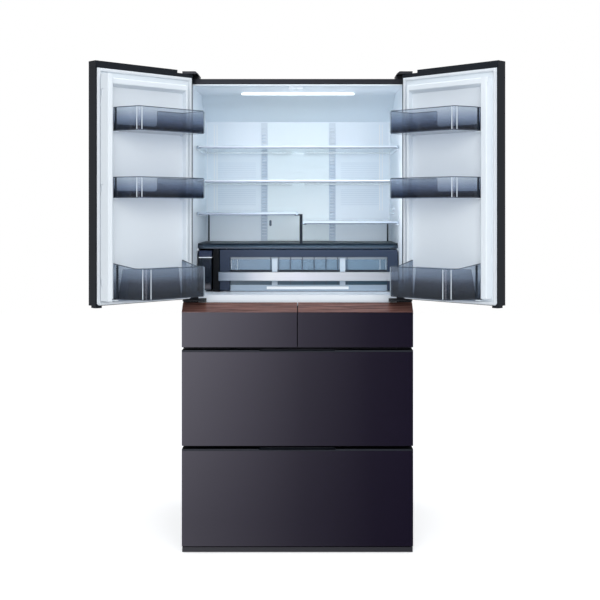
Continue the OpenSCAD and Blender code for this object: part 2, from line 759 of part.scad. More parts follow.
module chiller_cover() {
    side_gap = 0.5;
    low = cover_z - cover_t;
    post = [post_x, post_x + post_w];
    color(navy) placed() {
        difference() {
            intersection() {
                along_x([-1, 1] * fridge_x) polygon([[cover_y, low], [cover_y, low + 6],
                    [cover_y + 18, cover_z], [fridge_y - 5, cover_z], [fridge_y - 5, low]]);
                fridge_space(-side_gap);
            }
            for (side = [-1, 1]) on_side(side) translate([fridge_x - 30, cover_y - 1, low - 1])
                linear_extrude(cover_t + 2) polygon([[0, 0], [40, 0], [40, 40]]);
        }
        rounded_span(from(case_left - case_gap, [-divider_w, 0]), [case_y + 2, fridge_y - 30],
            [fridge_floor, low + step], 4);
        rounded_span(post, [cover_y + 18, cover_y + 50], [cover_z - step, left_shelf_z - shelf_t / 2], 3);
        span([post[0] - 20, post[1]], [cover_y + 20, cover_y + 48],
            from(left_shelf_z - shelf_t / 2, [-6, 0]));
        span([post[0], post[1] + 16], [cover_y + 20, cover_y + 48],
            from(right_shelf_z - shelf_t / 2, [-6, 0]));
        // Thin posts under the rear corners of the half shelves
        for (corner = [[-fridge_x + 14, left_shelf_z], [fridge_x - 20, right_shelf_z]])
            span(from(corner[0], [0, 6]), from(fridge_y, [-29, -23]), [cover_z - step, corner[1] - trim_h / 2]);
    }
}

// Ice maker: a motor box and a bracket under the ceiling of the ice compartment, and the tray that turns

module ice_maker() {
    color("#b9c2ca") placed() difference() {
        union() {
            span([tray_x[0] - 10, tray_x[1] + 42], from(tray_y, [-45, 45]), from(small_top, [-3, 0]));
            rounded_span([tray_x[1] + 4, tray_x[1] + 42], from(tray_y, [-34, 34]),
                [small_top - 70, small_top - 3 + step], 6);
            span([tray_x[0] - 10, tray_x[0] - 4], from(tray_y, [-20, 20]), [tray_z - 10, small_top - 3 + step]);
        }
        translate([tray_x[0] - 11, tray_y, tray_z]) rotate([0, 90, 0]) cylinder(r = 5.3, h = 8);
        translate([tray_x[1] + 3, tray_y, tray_z]) rotate([0, 90, 0]) cylinder(r = 5.3, h = 14);
    }
}

module ice_tray() {
    cups = 8;
    pitch = (tray_x[1] - tray_x[0] - 8) / cups;
    color("#7f8b98") placed() {
        difference() {
            along_x(tray_x) polygon([[tray_y - 35, tray_z + 13], [tray_y - 27, tray_z - 17],
                [tray_y + 27, tray_z - 17], [tray_y + 35, tray_z + 13]]);
            for (i = [0:cups - 1], row = [-1, 1])
                span(from(tray_x[0] + 5 + i * pitch, [0, pitch - 3]), from(tray_y + row * 15, [-12, 12]),
                    from(tray_z, [-14, 14]));
        }
        translate([tray_x[0] - 9, tray_y, tray_z]) rotate([0, 90, 0]) cylinder(r = 5, h = 11);
        translate([tray_x[1] - 3, tray_y, tray_z]) rotate([0, 90, 0]) cylinder(r = 5, h = 18);
    }
}

// Cooling machinery

module compressor() {
    color("#1d1f22") placed() translate([-210, machine_y + 118, pad_z]) {
        rotate_extrude() polygon(concat([[0, 18]], arc([can_r - 26, 44], 26, -90, 0), [[can_r, 100]],
            [[can_r + 3, 100], [can_r + 3, 106], [can_r, 106]], arc([can_r - 34, 144], 34, 0, 90), [[0, 178]]));
        span([-82, 82], [-58, 58], [14, 18 + step]);
        for (x = [-68, 68], y = [-46, 46]) translate([x, y, 0]) {
            cylinder(r = 11, h = 14 + step);
            cylinder(r = 4, h = 24);
        }
        translate([can_r - 12, -22, 64]) cube([30, 44, 42]);
        for (z = [60, 140]) translate([0, can_r - 20, z]) rotate([-90, 0, 0]) cylinder(r = 4, h = 34);
    }
}

fan_centre = [150, machine_y + 100, 132];

module fan_rotor(r, depth, blades) {
    cylinder(r = r * 0.3, h = depth, center = true);
    for (i = [0:blades - 1]) rotate(i * 360 / blades) translate([r * 0.25, 0, 0]) rotate([32, 0, 0])
        translate([0, -r * 0.24, -1]) cube([r * 0.73, r * 0.48, 2]);
}

module condenser() {
    fins = 22;
    centre = fan_centre;
    color("#6f7780") placed() {
        // Drain pan that catches the meltwater
        difference() {
            rounded_span([20, 340], from(machine_y, [12, 225]), [pad_z, pad_z + 24], 10);
            rounded_span([22, 338], from(machine_y, [14, 223]), [pad_z + 2, pad_z + 30], 8);
        }
        // Finned coil standing in the pan
        for (i = [0:fins - 1]) span([60 + i * 8, 61.5 + i * 8], from(machine_y, [20, 66]), [pad_z + 2 - step, 212]);
        for (z = [62:30:200], y = from(machine_y, [32, 54])) translate([52, y, z]) rotate([0, 90, 0])
            cylinder(r = 4, h = fins * 8 + 8);
        // Shroud round the fan, with its motor on two spokes
        difference() {
            span([52, 248], from(machine_y, [70, 74]), [pad_z + 2 - step, 216]);
            translate([centre[0], machine_y + 69, centre[2]]) rotate([-90, 0, 0]) cylinder(r = shroud_r, h = 6);
        }
        span(from(centre[0], [-1, 1] * (shroud_r + 4)), from(machine_y, [70, 74]), from(centre[2], [-4, 4]));
        translate([centre[0], machine_y + 70, centre[2]]) rotate([-90, 0, 0]) difference() {
            cylinder(r = 20, h = 14);
            translate([0, 0, 6]) cylinder(r = 3.3, h = 10);
        }
    }
}

module condenser_fan() {
    color("#30343a") placed() translate(fan_centre) rotate([-90, 0, 0]) {
        fan_rotor(condenser_fan_r, 20, 7);
        translate([0, 0, -23]) cylinder(r = 3, h = 14);
    }
}

evaporator_fan_centre = [0, freezer_y + 46, middle_top - 72];

module evaporator() {
    fins = 26;
    pitch = 17;
    centre = evaporator_fan_centre;
    half = fins * pitch / 2;
    color("#c3c9cf") placed() {
        for (i = [0:fins]) span([-half + i * pitch - 0.75, -half + i * pitch + 0.75], from(freezer_y, [12, 72]),
            from(middle_floor, [20, 190]));
        for (z = [0:4], y = [28, 56]) translate([-half - 12, freezer_y + y, middle_floor + 37 + z * 34])
            rotate([0, 90, 0]) cylinder(r = 4, h = 2 * half + 24);
        // Return bends at both ends, and feet on the wall of its room
        for (side = [-1, 1]) on_side(side) {
            for (z = [0:4]) translate([half + 12, freezer_y + 42, middle_floor + 37 + z * 34])
                rotate([0, 0, -90]) rotate_extrude(angle = 180) translate([14, 0]) circle(4);
            span([half - 40, half - 20], from(freezer_y, [liner_t, 12 + step]), from(middle_floor, [60, 80]));
        }
        // Fan ring on its plate
        difference() {
            span([-110, 110], from(freezer_y, [60, 64]), from(centre[2], [-66, 70]));
            translate([0, freezer_y + 59, centre[2]]) rotate([-90, 0, 0]) cylinder(r = fan_ring_r, h = 6);
        }
        span([-1, 1] * (fan_ring_r + 3), from(freezer_y, [60, 64]), from(centre[2], [-4, 4]));
        translate([0, freezer_y + 56, centre[2]]) rotate([-90, 0, 0]) difference() {
            cylinder(r = 16, h = 14);
            translate([0, 0, -1]) cylinder(r = 3.3, h = 9);
        }
        span([-110, -90], from(freezer_y, [64 - step, 90]), from(centre[2], [-20, 20]));
        span([90, 110], from(freezer_y, [64 - step, 90]), from(centre[2], [-20, 20]));
        span([-30, 30], from(freezer_y, [60, 64]), [middle_floor + 190 - step, centre[2] - 66 + step]);
    }
}

module evaporator_fan() {
    color("#30343a") placed() translate(evaporator_fan_centre) rotate([-90, 0, 0]) {
        fan_rotor(evaporator_fan_r, 16, 5);
        cylinder(r = 3, h = 13);
    }
}

// Drawers

rail_small_z = small_floor + 18;
rail_middle_z = middle_floor + 110;
rail_lower_z = step_z + 12;

// A channel on the wall at x = 0, open towards +x
module rail(z) {
    along_y([front_y + 10, front_y + 10 + rail_l]) difference() {
        translate([0, z]) square([rail_w, rail_h]);
        translate([rail_t, z + rail_t]) square([rail_w, rail_h - 2 * rail_t]);
    }
}

// The arm that slides in that channel, fixed to the back of a drawer front
module arm(z) {
    along_y([door_t - step, front_y + 10 + rail_l]) {
        translate([rail_t + 1, z + rail_t + arm_gap]) square([rail_w, rail_h - 2 * (rail_t + arm_gap)]);
        translate([rail_w + 1, z]) square([arm_w, rail_h]);
    }
}

// Puts a rail or an arm on both walls of an opening
module on_walls(x) {
    translate([x[0], 0, 0]) children();
    translate([x[1], 0, 0]) mirror([1, 0, 0]) children();
}

function between_arms(x) = x + [1, -1] * (rail_w + 1 + arm_w);

module drawer_rails() {
    color(zinc) placed() {
        for (side = [-1, 1]) on_side(side) on_walls(small_x) rail(rail_small_z);
        on_walls(large_x) rail(rail_middle_z);
        on_walls(large_x) rail(rail_lower_z);
    }
}

module drawer_seal(x, z) {
    out = drawer_seal_w + 1;
    color("#c8cdd2")
        frame_ring(x + [-out, out], [door_t + 0.3, door_t + seal_t], z + [-out, out], drawer_seal_w, 5);
}

module small_drawer_front(side) {
    low = small_front[0];
    top = small_front[1];
    strip = top - grip_h;
    placed() on_side(side) {
        color(dark_steel) {
            along_x([small_gap / 2, hw]) polygon([[glass_t, low], [door_t, low], [door_t, top],
                [glass_t, strip + grip_h * glass_t / door_t - grip_t]]);
            on_walls(small_x) arm(rail_small_z);
        }
        color(brown) along_x([small_gap / 2, hw]) polygon([[0, strip], [glass_t, strip],
            [glass_t + step, strip + 1], [door_t, top - 1], [door_t, top], [door_t - 3, top], [0, strip + 1.5]]);
        drawer_seal(small_x, [small_floor, small_top]);
    }
}
module ice_drawer_front() { small_drawer_front(-1); }
module freeze_drawer_front() { small_drawer_front(1); }

module small_drawer_glass(side) {
    color(glass_dark) placed() on_side(side)
        span([small_gap / 2, hw], [0, glass_t], [small_front[0], small_front[1] - grip_h]);
}
module ice_drawer_glass() { small_drawer_glass(-1); }
module freeze_drawer_glass() { small_drawer_glass(1); }

module large_drawer_front(front, opening, rail_z) {
    placed() {
        color(dark_steel) {
            difference() {
                union() {
                    span([-hw, hw], [glass_t, door_t], front);
                    span([-hw, hw], [0, glass_t + step], [front[1] - front_cap_h, front[1]]);
                }
                along_y([glass_t + 2, glass_t + 2 + recess_d])
                    rounded_rect([-0.5, 0.5] * recess_l, [front[1] - 22, front[1] + 30], 10);
                rounded_span([-0.5, 0.5] * recess_l, [-10, recess_d], [front[1] - 3, front[1] + 1], 8);
            }
            on_walls(large_x) arm(rail_z);
        }
        drawer_seal(large_x, opening);
    }
}
module middle_drawer_front() { large_drawer_front(middle_front, [middle_floor, middle_top], rail_middle_z); }
module lower_drawer_front() { large_drawer_front(lower_front, [lower_floor, lower_top], rail_lower_z); }

module large_drawer_glass(front) {
    color(glass_dark) placed() span([-hw, hw], [0, glass_t], [front[0], front[1] - front_cap_h]);
}
module middle_drawer_glass() { large_drawer_glass(middle_front); }
module lower_drawer_glass() { large_drawer_glass(lower_front); }

// An open tub of which the side is outlined once from outside and once from inside
module tub(x, depth) {
    intersection() {
        difference() {
            along_x(x) children(0);
            intersection() {
                along_x(x + [1, -1] * tub_wall) children(1);
                rounded_span(x + [1, -1] * tub_wall, from(door_t, [tub_wall, depth - tub_wall]), [0, cabinet_h],
                    tub_r - tub_wall);
            }
        }
        rounded_span(x, from(door_t, [0, depth]), [0, cabinet_h], tub_r);
    }
}

module ice_drawer_tub() {
    z = small_floor + tub_lift;
    w = tub_wall;
    color("#e8eef3") placed() on_side(-1) tub(between_arms(small_x), small_tub_d) {
        translate([door_t, z]) polygon([[0, 0], [small_tub_d, 0], [small_tub_d, ice_tub_low_h],
            [ice_tub_front_d, ice_tub_low_h], [ice_tub_front_d, small_tub_h], [0, small_tub_h]]);
        translate([door_t, z]) polygon([[w, w], [small_tub_d - w, w], [small_tub_d - w, ice_tub_low_h + 1],
            [ice_tub_front_d - w, ice_tub_low_h + 1], [ice_tub_front_d - w, small_tub_h + 1], [w, small_tub_h + 1]]);
    }
}

module plain_tub(x, z, depth, h) {
    color("#e8eef3") placed() tub(x, depth) {
        translate([door_t, z]) square([depth, h]);
        translate([door_t + tub_wall, z + tub_wall]) square([depth - 2 * tub_wall, h]);
    }
}
module freeze_drawer_tub() { plain_tub(between_arms(small_x), small_floor + tub_lift, small_tub_d, small_tub_h); }
module middle_drawer_tub() { plain_tub(between_arms(large_x), middle_floor + tub_lift, middle_tub_d, middle_tub_h); }

// The lower tub steps up over the machine room
module lower_drawer_tub() {
    z = lower_floor + tub_lift;
    top = z + lower_tub_h;
    low_d = step_y - door_t - lower_tub_gap;
    deep = freezer_y - lower_tub_back - door_t;
    ledge = step_z + tub_lift;
    w = tub_wall;
    color("#e8eef3") placed() tub(between_arms(large_x), deep) {
        translate([door_t, 0]) polygon([[0, z], [low_d, z], [low_d, ledge - 62], [low_d + 60, ledge], [deep, ledge],
            [deep, top], [0, top]]);
        translate([door_t, 0]) polygon([[w, z + w], [low_d - w, z + w], [low_d - w, ledge - 62 + w],
            [low_d + 60 - w, ledge + w], [deep - w, ledge + w], [deep - w, top + 1], [w, top + 1]]);
    }
}

// Doors, each in its own frame

module door_shell(side) {
    body_y = [glass_t, door_t - liner_t];
    cap_u = [0, pivot_u - hinge_zone];
    seam = 0.6;
    color(dark_steel) on_door(side) difference() {
        union() {
            span([0, door_w], body_y, [door_z[0], hinge_top]);
            span(cap_u, [0, body_y[1]], [hinge_top, door_z[1]]);
            span(cap_u, body_y, from(hinge_top, [-1, 1]));
            span([0, door_w], [0, glass_t + step], from(door_z[0], [0, 4]));
            rounded_span([4, 32], [8, 38], from(door_z[0], [-8.5, step]), 4);
        }
        // Seams of the caps
        for (z = [door_z[1] - cap_h, door_z[0] + 12]) difference() {
            span([-1, door_w + 1], [0, door_t], [z, z + 1]);
            span([seam, door_w - seam], [0, body_y[1] - seam], [z - 1, z + 2]);
        }
        translate([pivot_u, pivot_y, hinge_top - pin_l]) cylinder(r = bore_r, h = pin_l + 1);
        translate([pivot_u, pivot_y, door_z[0] - 1]) cylinder(r = bore_r, h = pin_l + 1);
    }
}
module left_door_shell() { door_shell(-1); }
module right_door_shell() { door_shell(1); }

module door_glass(side) {
    color(glass_dark) on_door(side) span([0, door_w], [0, glass_t], [door_z[0] + 4, hinge_top]);
}
module left_door_glass() { door_glass(-1); }
module right_door_glass() { door_glass(1); }

module door_seal(side) {
    color("#d3d7da") on_door(side)
        frame_ring([4, door_w - 12], from(door_t, [0, seal_t]), [door_z[0] + 2, cabinet_h - 4], seal_w, 6);
}
module left_door_seal() { door_seal(-1); }
module right_door_seal() { door_seal(1); }

// Moulded liner: a sheet with a raised edge along both sides and the top, and lugs under the bins
module door_liner(free_u) {
    inner_u = bin_u - 7;
    crest = 5;
    wall_u = hinge_dyke_u - hinge_dyke_t;
    span([6, door_w - 6], [door_t - liner_t, door_t], [door_z[0] + 6, cabinet_h + 6]);
    translate([0, 0, dyke_z[0]]) linear_extrude(dyke_z[1] - dyke_z[0]) {
        polygon(concat([[free_u, door_t - step]], arc([free_u + 6 + crest, dyke_y - crest], crest, 180, 90),
            arc([inner_u - crest, dyke_y - crest], crest, 90, 0), [[bin_u - 1, door_t - step]]));
        polygon(concat([[wall_u, door_t - step]], arc([wall_u + 4, dyke_y - 4], 4, 180, 90),
            arc([hinge_dyke_u - crest, dyke_y - 4], 4, 90, 0), [[hinge_dyke_u, door_t - step]]));
    }
    along_x([free_u + 3, hinge_dyke_u - 3])
        polygon(concat([[door_t - step, dyke_z[1] - top_dyke_h - 8]],
            arc([dyke_y - crest - 1, dyke_z[1] - top_dyke_h + crest], crest, -90, 0),
            arc([dyke_y - crest - 1, dyke_z[1] - crest - 1], crest, 0, 90), [[door_t - step, dyke_z[1] - 1]]));
    for (z = [upper_bin_z, middle_bin_z, lower_bin_z]) {
        span([bin_u - 3, bin_u + 14], [door_t - step, dyke_y - 1], from(z - bin_gap, [-lug, 0]));
        span([wall_u - 14, wall_u + 1], [door_t - step, dyke_y - 1], from(z - bin_gap, [-lug, 0]));
    }
}

module left_door_liner() {
    color(white) on_door(-1) {
        door_liner(left_dyke_u);
        // Arms and pins that carry the flap
        for (z = knuckle_z) {
            span([flap_u, left_dyke_u + 8], from(flap_y, [-5, 5]), from(z, [0.5, knuckle_h - 0.5]));
            translate([flap_u, flap_y, z + 0.5]) cylinder(r = 7, h = knuckle_h - 1);
            translate([flap_u, flap_y, z - 12]) cylinder(r = flap_pin_r, h = knuckle_h + 24);
        }
    }
}
module right_door_liner() { color(white) on_door(1) door_liner(right_dyke_u); }

module left_flap() {
    color("#dfe4ea") on_door(-1) difference() {
        translate([0, 0, flap_z[0]]) linear_extrude(flap_z[1] - flap_z[0]) {
            translate([flap_u, flap_y]) circle(flap_r);
            translate([flap_u - flap_r, flap_y]) square([flap_t, flap_l]);
        }
        for (z = knuckle_z) {
            span(from(flap_u, [-12, 12]), from(flap_y, [-12, 12]), from(z, [0, knuckle_h]));
            translate([flap_u, flap_y, z - 12.5]) cylinder(r = flap_pin_r + pin_gap, h = knuckle_h + 25);
        }
    }
}

// Plan of a bin, drawn in by i: straight back, rounded front corners, and a side that leans in
function bin_plan(i, bend, lean, r) = concat(
    [[bin_u + bin_gap + i, bin_y + i], [bin_far_u - i, bin_y + i]],
    arc([bin_far_u - 8, door_t + bin_d - 8], 8 - i, 0, 90),
    arc([bin_u + lean + r, door_t + bin_d - r], r - i, 90, 180),
    [[bin_u + bin_gap + i, bend]]);

module bin(side, z, h, bend, lean, r) {
    color(smoke) on_door(side) translate([0, 0, z]) difference() {
        linear_extrude(h) polygon(bin_plan(0, bend, lean, r));
        translate([0, 0, bin_wall]) linear_extrude(h) polygon(bin_plan(bin_wall, bend, lean, r));
        along_y(from(bin_y, [-1, bin_wall + step])) children();
    }
}

// An upper or middle bin, with the back cut low over most of its length
module high_bin(side, z, h) {
    bin(side, z, h, bin_y + 40, bin_lean, bin_r)
        rounded_rect(from(bin_u + 10, [0, bin_low_l]), [bin_low_h, h + 2 * bin_low_r], bin_low_r);
}

// The lower bins rise towards the back
module lower_bin(side) {
    top = lower_bin_z + lower_bin_h;
    difference() {
        bin(side, lower_bin_z, lower_bin_h + lower_bin_rise, bin_y + 6, lower_bin_lean, lower_bin_r) difference() {
            translate([bin_u + 4, bin_wall + 2]) square([bin_far_u - bin_u - 8, lower_bin_h + lower_bin_rise]);
            polygon([[bin_u + 26, 0], [bin_u + 48, lower_bin_h - 6], [bin_far_u - 22, lower_bin_h - 6],
                [bin_far_u - 10, 0]]);
        }
        on_door(side) along_x([0, door_w]) polygon([[0, top + lower_bin_rise + 12],
            [bin_y, top + lower_bin_rise], [bin_y + 80, top], [bin_y + 200, top], [bin_y + 200, top + 60]]);
    }
}
module left_bin_upper() { high_bin(-1, upper_bin_z, upper_bin_h); }
module left_bin_middle() { high_bin(-1, middle_bin_z, middle_bin_h); }
module left_bin_lower() { lower_bin(-1); }
module right_bin_upper() { high_bin(1, upper_bin_z, upper_bin_h); }
module right_bin_middle() { high_bin(1, middle_bin_z, middle_bin_h); }
module right_bin_lower() { lower_bin(1); }

// Chilled case and water tank

module case_front() {
    color(navy) placed() along_y([case_y, case_y + case_front_t]) difference() {
        rounded_rect(case_x, [case_z, case_z + case_h], 3);
        translate([case_x[0] + case_stile, case_z - 1])
            square([case_x[1] - case_x[0] - 2 * case_stile, fridge_floor + window_high - case_z + 1]);
    }
}

module case_handle() {
    low = fridge_floor + handle_low;
    color("#c9cdd2") placed() along_x(case_x + [-5, 0]) difference() {
        rounded_rect([case_y - handle_out, case_y], [low, low + handle_h], 3);
        translate([case_y - handle_out + 4, low - 1]) square([handle_out - 8, handle_h - 8]);
    }
}

module case_tub() {
    x = case_x + [3, -3];
    y = from(case_y + case_front_t, [0, case_tub_d]);
    z = [case_z + 2, case_z + case_h - 8];
    color("#dbe6ee") placed() {
        difference() {
            rounded_span(x, y, z, 6);
            rounded_span(x + [3, -3], y + [3, -3], [z[0] + 3, z[1] + 1], 4);
        }
        middle = (x[0] + x[1]) / 2;
        for (post = [[-148, -120], [124, 148]]) span(from(middle, post), from(y[0], [2, 9]), z + [2, -8]);
        for (rib = [-76, -28, 20, 70]) span(from(middle + rib, [-1.5, 1.5]), from(y[0], [2, 60]), z + [2, -14]);
    }
}

module water_tank() {
    x = [tank_x, tank_x + tank_w];
    y = [case_y + 8, case_y + 8 + tank_d];
    top = case_z + tank_h;
    placed() {
        color("#5b6675") difference() {
            rounded_span(x, y, [case_z, top], 5);
            rounded_span(x + [2, -2], y + [2, -2], [case_z + 2, top + 1], 3);
        }
        color("#44608c") difference() {
            rounded_span(x, y, [top + 0.3, top + lid_h], 5);
            translate([0, 0, top + 8]) along_x(x + [-1, 1]) polygon([[y[0] - 1, 0], [y[0] + 22, 30], [y[0] - 1, 30]]);
        }
    }
}

outer_case();
rear_panels();
base_plate();
insulation_foam();
fridge_liner();
freezer_liners();
upper_partition();
freezer_partitions();
door_hinges();
hinge_covers();
kick_plate();
front_feet();
rear_roller_left();
rear_roller_right();
ceiling_light();
duct_panel();
shelf_upper();
shelf_middle();
shelf_lower_left();
shelf_lower_right();
chiller_cover();
ice_maker();
ice_tray();
compressor();
condenser();
condenser_fan();
evaporator();
evaporator_fan();
drawer_rails();
left_door_shell();
left_door_glass();
left_door_liner();
left_door_seal();
left_bin_upper();
left_bin_middle();
left_bin_lower();
left_flap();
right_door_shell();
right_door_glass();
right_door_liner();
right_door_seal();
right_bin_upper();
right_bin_middle();
right_bin_lower();
ice_drawer_front();
ice_drawer_glass();
ice_drawer_tub();
freeze_drawer_front();
freeze_drawer_glass();
freeze_drawer_tub();
middle_drawer_front();
middle_drawer_glass();
middle_drawer_tub();
lower_drawer_front();
lower_drawer_glass();
lower_drawer_tub();
case_front();
case_handle();
case_tub();
water_tank();
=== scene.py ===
"""Six-door refrigerator with its two glass doors open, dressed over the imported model, in metres."""
import json
import math

import bmesh
import bpy
from mathutils import Matrix, Vector


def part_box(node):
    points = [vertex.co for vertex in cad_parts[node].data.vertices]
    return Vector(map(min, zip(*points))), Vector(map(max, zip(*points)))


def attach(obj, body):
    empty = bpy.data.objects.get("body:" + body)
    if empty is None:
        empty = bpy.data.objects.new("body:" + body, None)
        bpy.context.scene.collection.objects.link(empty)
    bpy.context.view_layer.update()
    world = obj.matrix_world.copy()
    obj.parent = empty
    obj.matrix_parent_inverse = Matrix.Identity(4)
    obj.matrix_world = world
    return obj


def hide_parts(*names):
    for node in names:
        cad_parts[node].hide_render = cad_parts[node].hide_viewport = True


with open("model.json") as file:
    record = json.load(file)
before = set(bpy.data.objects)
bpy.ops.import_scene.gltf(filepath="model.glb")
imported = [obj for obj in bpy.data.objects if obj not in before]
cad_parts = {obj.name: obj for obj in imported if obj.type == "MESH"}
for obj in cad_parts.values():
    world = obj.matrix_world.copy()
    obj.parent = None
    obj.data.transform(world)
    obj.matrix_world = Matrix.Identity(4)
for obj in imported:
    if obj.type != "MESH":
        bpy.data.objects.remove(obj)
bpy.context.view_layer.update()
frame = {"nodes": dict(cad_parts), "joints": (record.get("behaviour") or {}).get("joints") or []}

# The view. A level camera stands four metres before the drawer fronts, a little to the right,
# and its picture is shifted down, so that upright edges stay upright as in a product photograph.
scene = bpy.context.scene
eye_distance = 4.03
eye_height = 1.305
eye_right = 0.025
camera = bpy.data.objects.new("camera", bpy.data.cameras.new("camera"))
scene.collection.objects.link(camera)
camera.location = (eye_right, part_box("middle_drawer_glass")[0].y - eye_distance, eye_height)
camera.rotation_euler = (math.radians(90), 0, 0)
camera.data.lens = 63.6
camera.data.shift_x = -0.0067
camera.data.shift_y = -0.15
scene.camera = camera
scene.view_settings.view_transform = "Standard"


# The studio. White paper runs under the object and out of sight, and a large soft lamp stands before
# it. The glass fronts mirror the dim room behind the camera, which is brightest at the left.
def linear(colour):
    """An sRGB hex colour as linear values with full alpha."""
    parts = [int(colour[i:i + 2], 16) / 255 for i in (1, 3, 5)]
    return [p / 12.92 if p <= 0.04045 else ((p + 0.055) / 1.055) ** 2.4 for p in parts] + [1.0]


def out_of(value):
    """The first output of a node. Anything else is given back as it is."""
    return value.outputs[0] if isinstance(value, bpy.types.Node) else value


def add(tree, kind, inputs=None, **settings):
    """Adds a node with its settings. An input is a value, another node or a socket of one."""
    node = tree.nodes.new(kind)
    for name, value in settings.items():
        setattr(node, name, value)
    for key, value in (inputs or {}).items():
        value = out_of(value)
        if isinstance(value, bpy.types.NodeSocket):
            tree.links.new(value, node.inputs[key])
        else:
            node.inputs[key].default_value = value
    return node


def mixed(tree, share, first, second):
    """Goes from the first shader to the second as the share goes from 0 to 1."""
    return add(tree, "ShaderNodeMixShader", {0: share, 1: first, 2: second})


def seen_by_eye(tree, rays):
    """Is 1 for rays from the camera, straight or through glass."""
    return add(tree, "ShaderNodeMath", {0: rays["Is Camera Ray"], 1: rays["Is Transmission Ray"]},
               operation="MAXIMUM")


world = bpy.data.worlds.new("studio")
scene.world = world
world.use_nodes = True
tree = world.node_tree
tree.nodes.clear()
white = (1, 1, 1, 1)
rays = add(tree, "ShaderNodeLightPath").outputs
facing = add(tree, "ShaderNodeTexCoord").outputs["Generated"]
towards = add(tree, "ShaderNodeSeparateXYZ", {0: facing}).outputs
across = add(tree, "ShaderNodeMapRange", {"Value": towards["X"], "From Min": -0.125, "From Max": 0.125})
room = add(tree, "ShaderNodeValToRGB", {"Fac": across})
room.color_ramp.elements[0].color = (1.0, 0.98, 1.1, 1)
room.color_ramp.elements[1].color = (0.012, 0.011, 0.02, 1)
for place, level in ((0.25, 0.62), (0.5, 0.26), (0.75, 0.07)):
    room.color_ramp.elements.new(place).color = (level, level * 0.97, level * 1.12, 1)
height = add(tree, "ShaderNodeMapRange", {
    "Value": towards["Z"], "From Min": -0.28, "From Max": -0.1, "To Min": 1.5, "To Max": 3.0})
room_glow = add(tree, "ShaderNodeBackground", {"Color": room, "Strength": height})
white_glow = add(tree, "ShaderNodeBackground", {"Color": white, "Strength": 1.0})
soft_glow = add(tree, "ShaderNodeBackground", {"Color": linear("#f3f7fc"), "Strength": 0.62})
side_glow = add(tree, "ShaderNodeBackground", {"Color": white, "Strength": 0.4})
ahead = add(tree, "ShaderNodeMath", {0: towards["Y"], 1: -0.8}, operation="LESS_THAN")
mirrored = mixed(tree, ahead, side_glow, room_glow)
plain = mixed(tree, seen_by_eye(tree, rays), soft_glow, white_glow)
add(tree, "ShaderNodeOutputWorld", {"Surface": mixed(tree, rays["Is Glossy Ray"], plain, mirrored)})

paper_reach = 9
paper_lift = 0.5
paper = bpy.data.objects.new("paper", bpy.data.meshes.new("paper"))
scene.collection.objects.link(paper)
corners = [(x * paper_reach, y * paper_reach, 0) for x, y in ((-1, -1), (1, -1), (1, 1), (-1, 1))]
paper.data.from_pydata(corners, [], [(0, 1, 2, 3)])
paper.visible_glossy = False
material = bpy.data.materials.new("white seamless paper")
paper.data.materials.append(material)
material.use_nodes = True
tree = material.node_tree
tree.nodes.clear()
seen = seen_by_eye(tree, add(tree, "ShaderNodeLightPath").outputs)
lift = add(tree, "ShaderNodeMath", {0: seen, 1: paper_lift}, operation="MULTIPLY")
matt = add(tree, "ShaderNodeBsdfDiffuse", {"Color": (0.9, 0.9, 0.9, 1)})
glow = add(tree, "ShaderNodeEmission", {"Color": white, "Strength": lift})
both = add(tree, "ShaderNodeAddShader", {0: matt, 1: glow})
add(tree, "ShaderNodeOutputMaterial", {"Surface": both})


def lamp(name, place, aim, size, power, colour="#ffffff"):
    """A rectangular soft lamp at a place, turned towards an aim."""
    light = bpy.data.lights.new(name, "AREA")
    light.shape = "RECTANGLE"
    light.size, light.size_y = size
    light.energy = power
    light.color = linear(colour)[:3]
    holder = bpy.data.objects.new(name, light)
    scene.collection.objects.link(holder)
    holder.location = place
    holder.rotation_euler = (Vector(aim) - Vector(place)).to_track_quat("-Z", "Y").to_euler()
    holder.visible_glossy = False
    holder.visible_camera = False


lamp("front_lamp", (0.3, -4.6, 2.6), (0, 0, 1.2), (3.6, 2.4), 95)
lamp("top_lamp", (0, -0.8, 4.2), (0, -0.2, 1.0), (3.0, 2.0), 40)
lamp("opening_fill", (0.11, -0.13, 1.34), (0.13, 0.4, 1.42), (0.62, 0.5), 1.65, "#f0f3f8")


# Cabinet sheet. One folded steel sheet, powder coated in a dark satin grey, makes both sides and the
# top, with a narrow flange turned in round the front. The coat shows a fine, even grain.
def linked(name, mesh):
    """A new object in the scene for a mesh."""
    piece = bpy.data.objects.new(name, mesh)
    scene.collection.objects.link(piece)
    return piece


def kept(piece, body, slot, material, *replaced):
    """Gives a piece its material and its body, and names the CAD nodes it stands for. Its slot is not used.
    """
    if material is not None:
        piece.data.materials.clear()
        piece.data.materials.append(material)
    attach(piece, body)
    if replaced:
        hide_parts(*replaced)
    return piece


def settled(piece):
    """Turns what a piece's modifiers make into its plain mesh."""
    view = bpy.context.evaluated_depsgraph_get()
    mesh = bpy.data.meshes.new_from_object(piece.evaluated_get(view))
    piece.modifiers.clear()
    piece.data = mesh
    return piece


def rounded(piece, ease, segments=2):
    """Eases the sharp edges of a piece and smooths the rest."""
    sharp = math.radians(32)
    if ease:
        bevel = piece.modifiers.new("eased edges", "BEVEL")
        bevel.width = ease
        bevel.segments = segments
        bevel.limit_method = "ANGLE"
        bevel.angle_limit = sharp
        bevel.use_clamp_overlap = True
        settled(piece)
    piece.data.shade_smooth()
    piece.data.set_sharp_from_angle(angle=sharp)
    # Large faces stay flat in their shading, so that glass mirrors straight lines
    weighted = piece.modifiers.new("flat faces", "WEIGHTED_NORMAL")
    weighted.keep_sharp = True
    weighted.weight = 100
    return settled(piece)


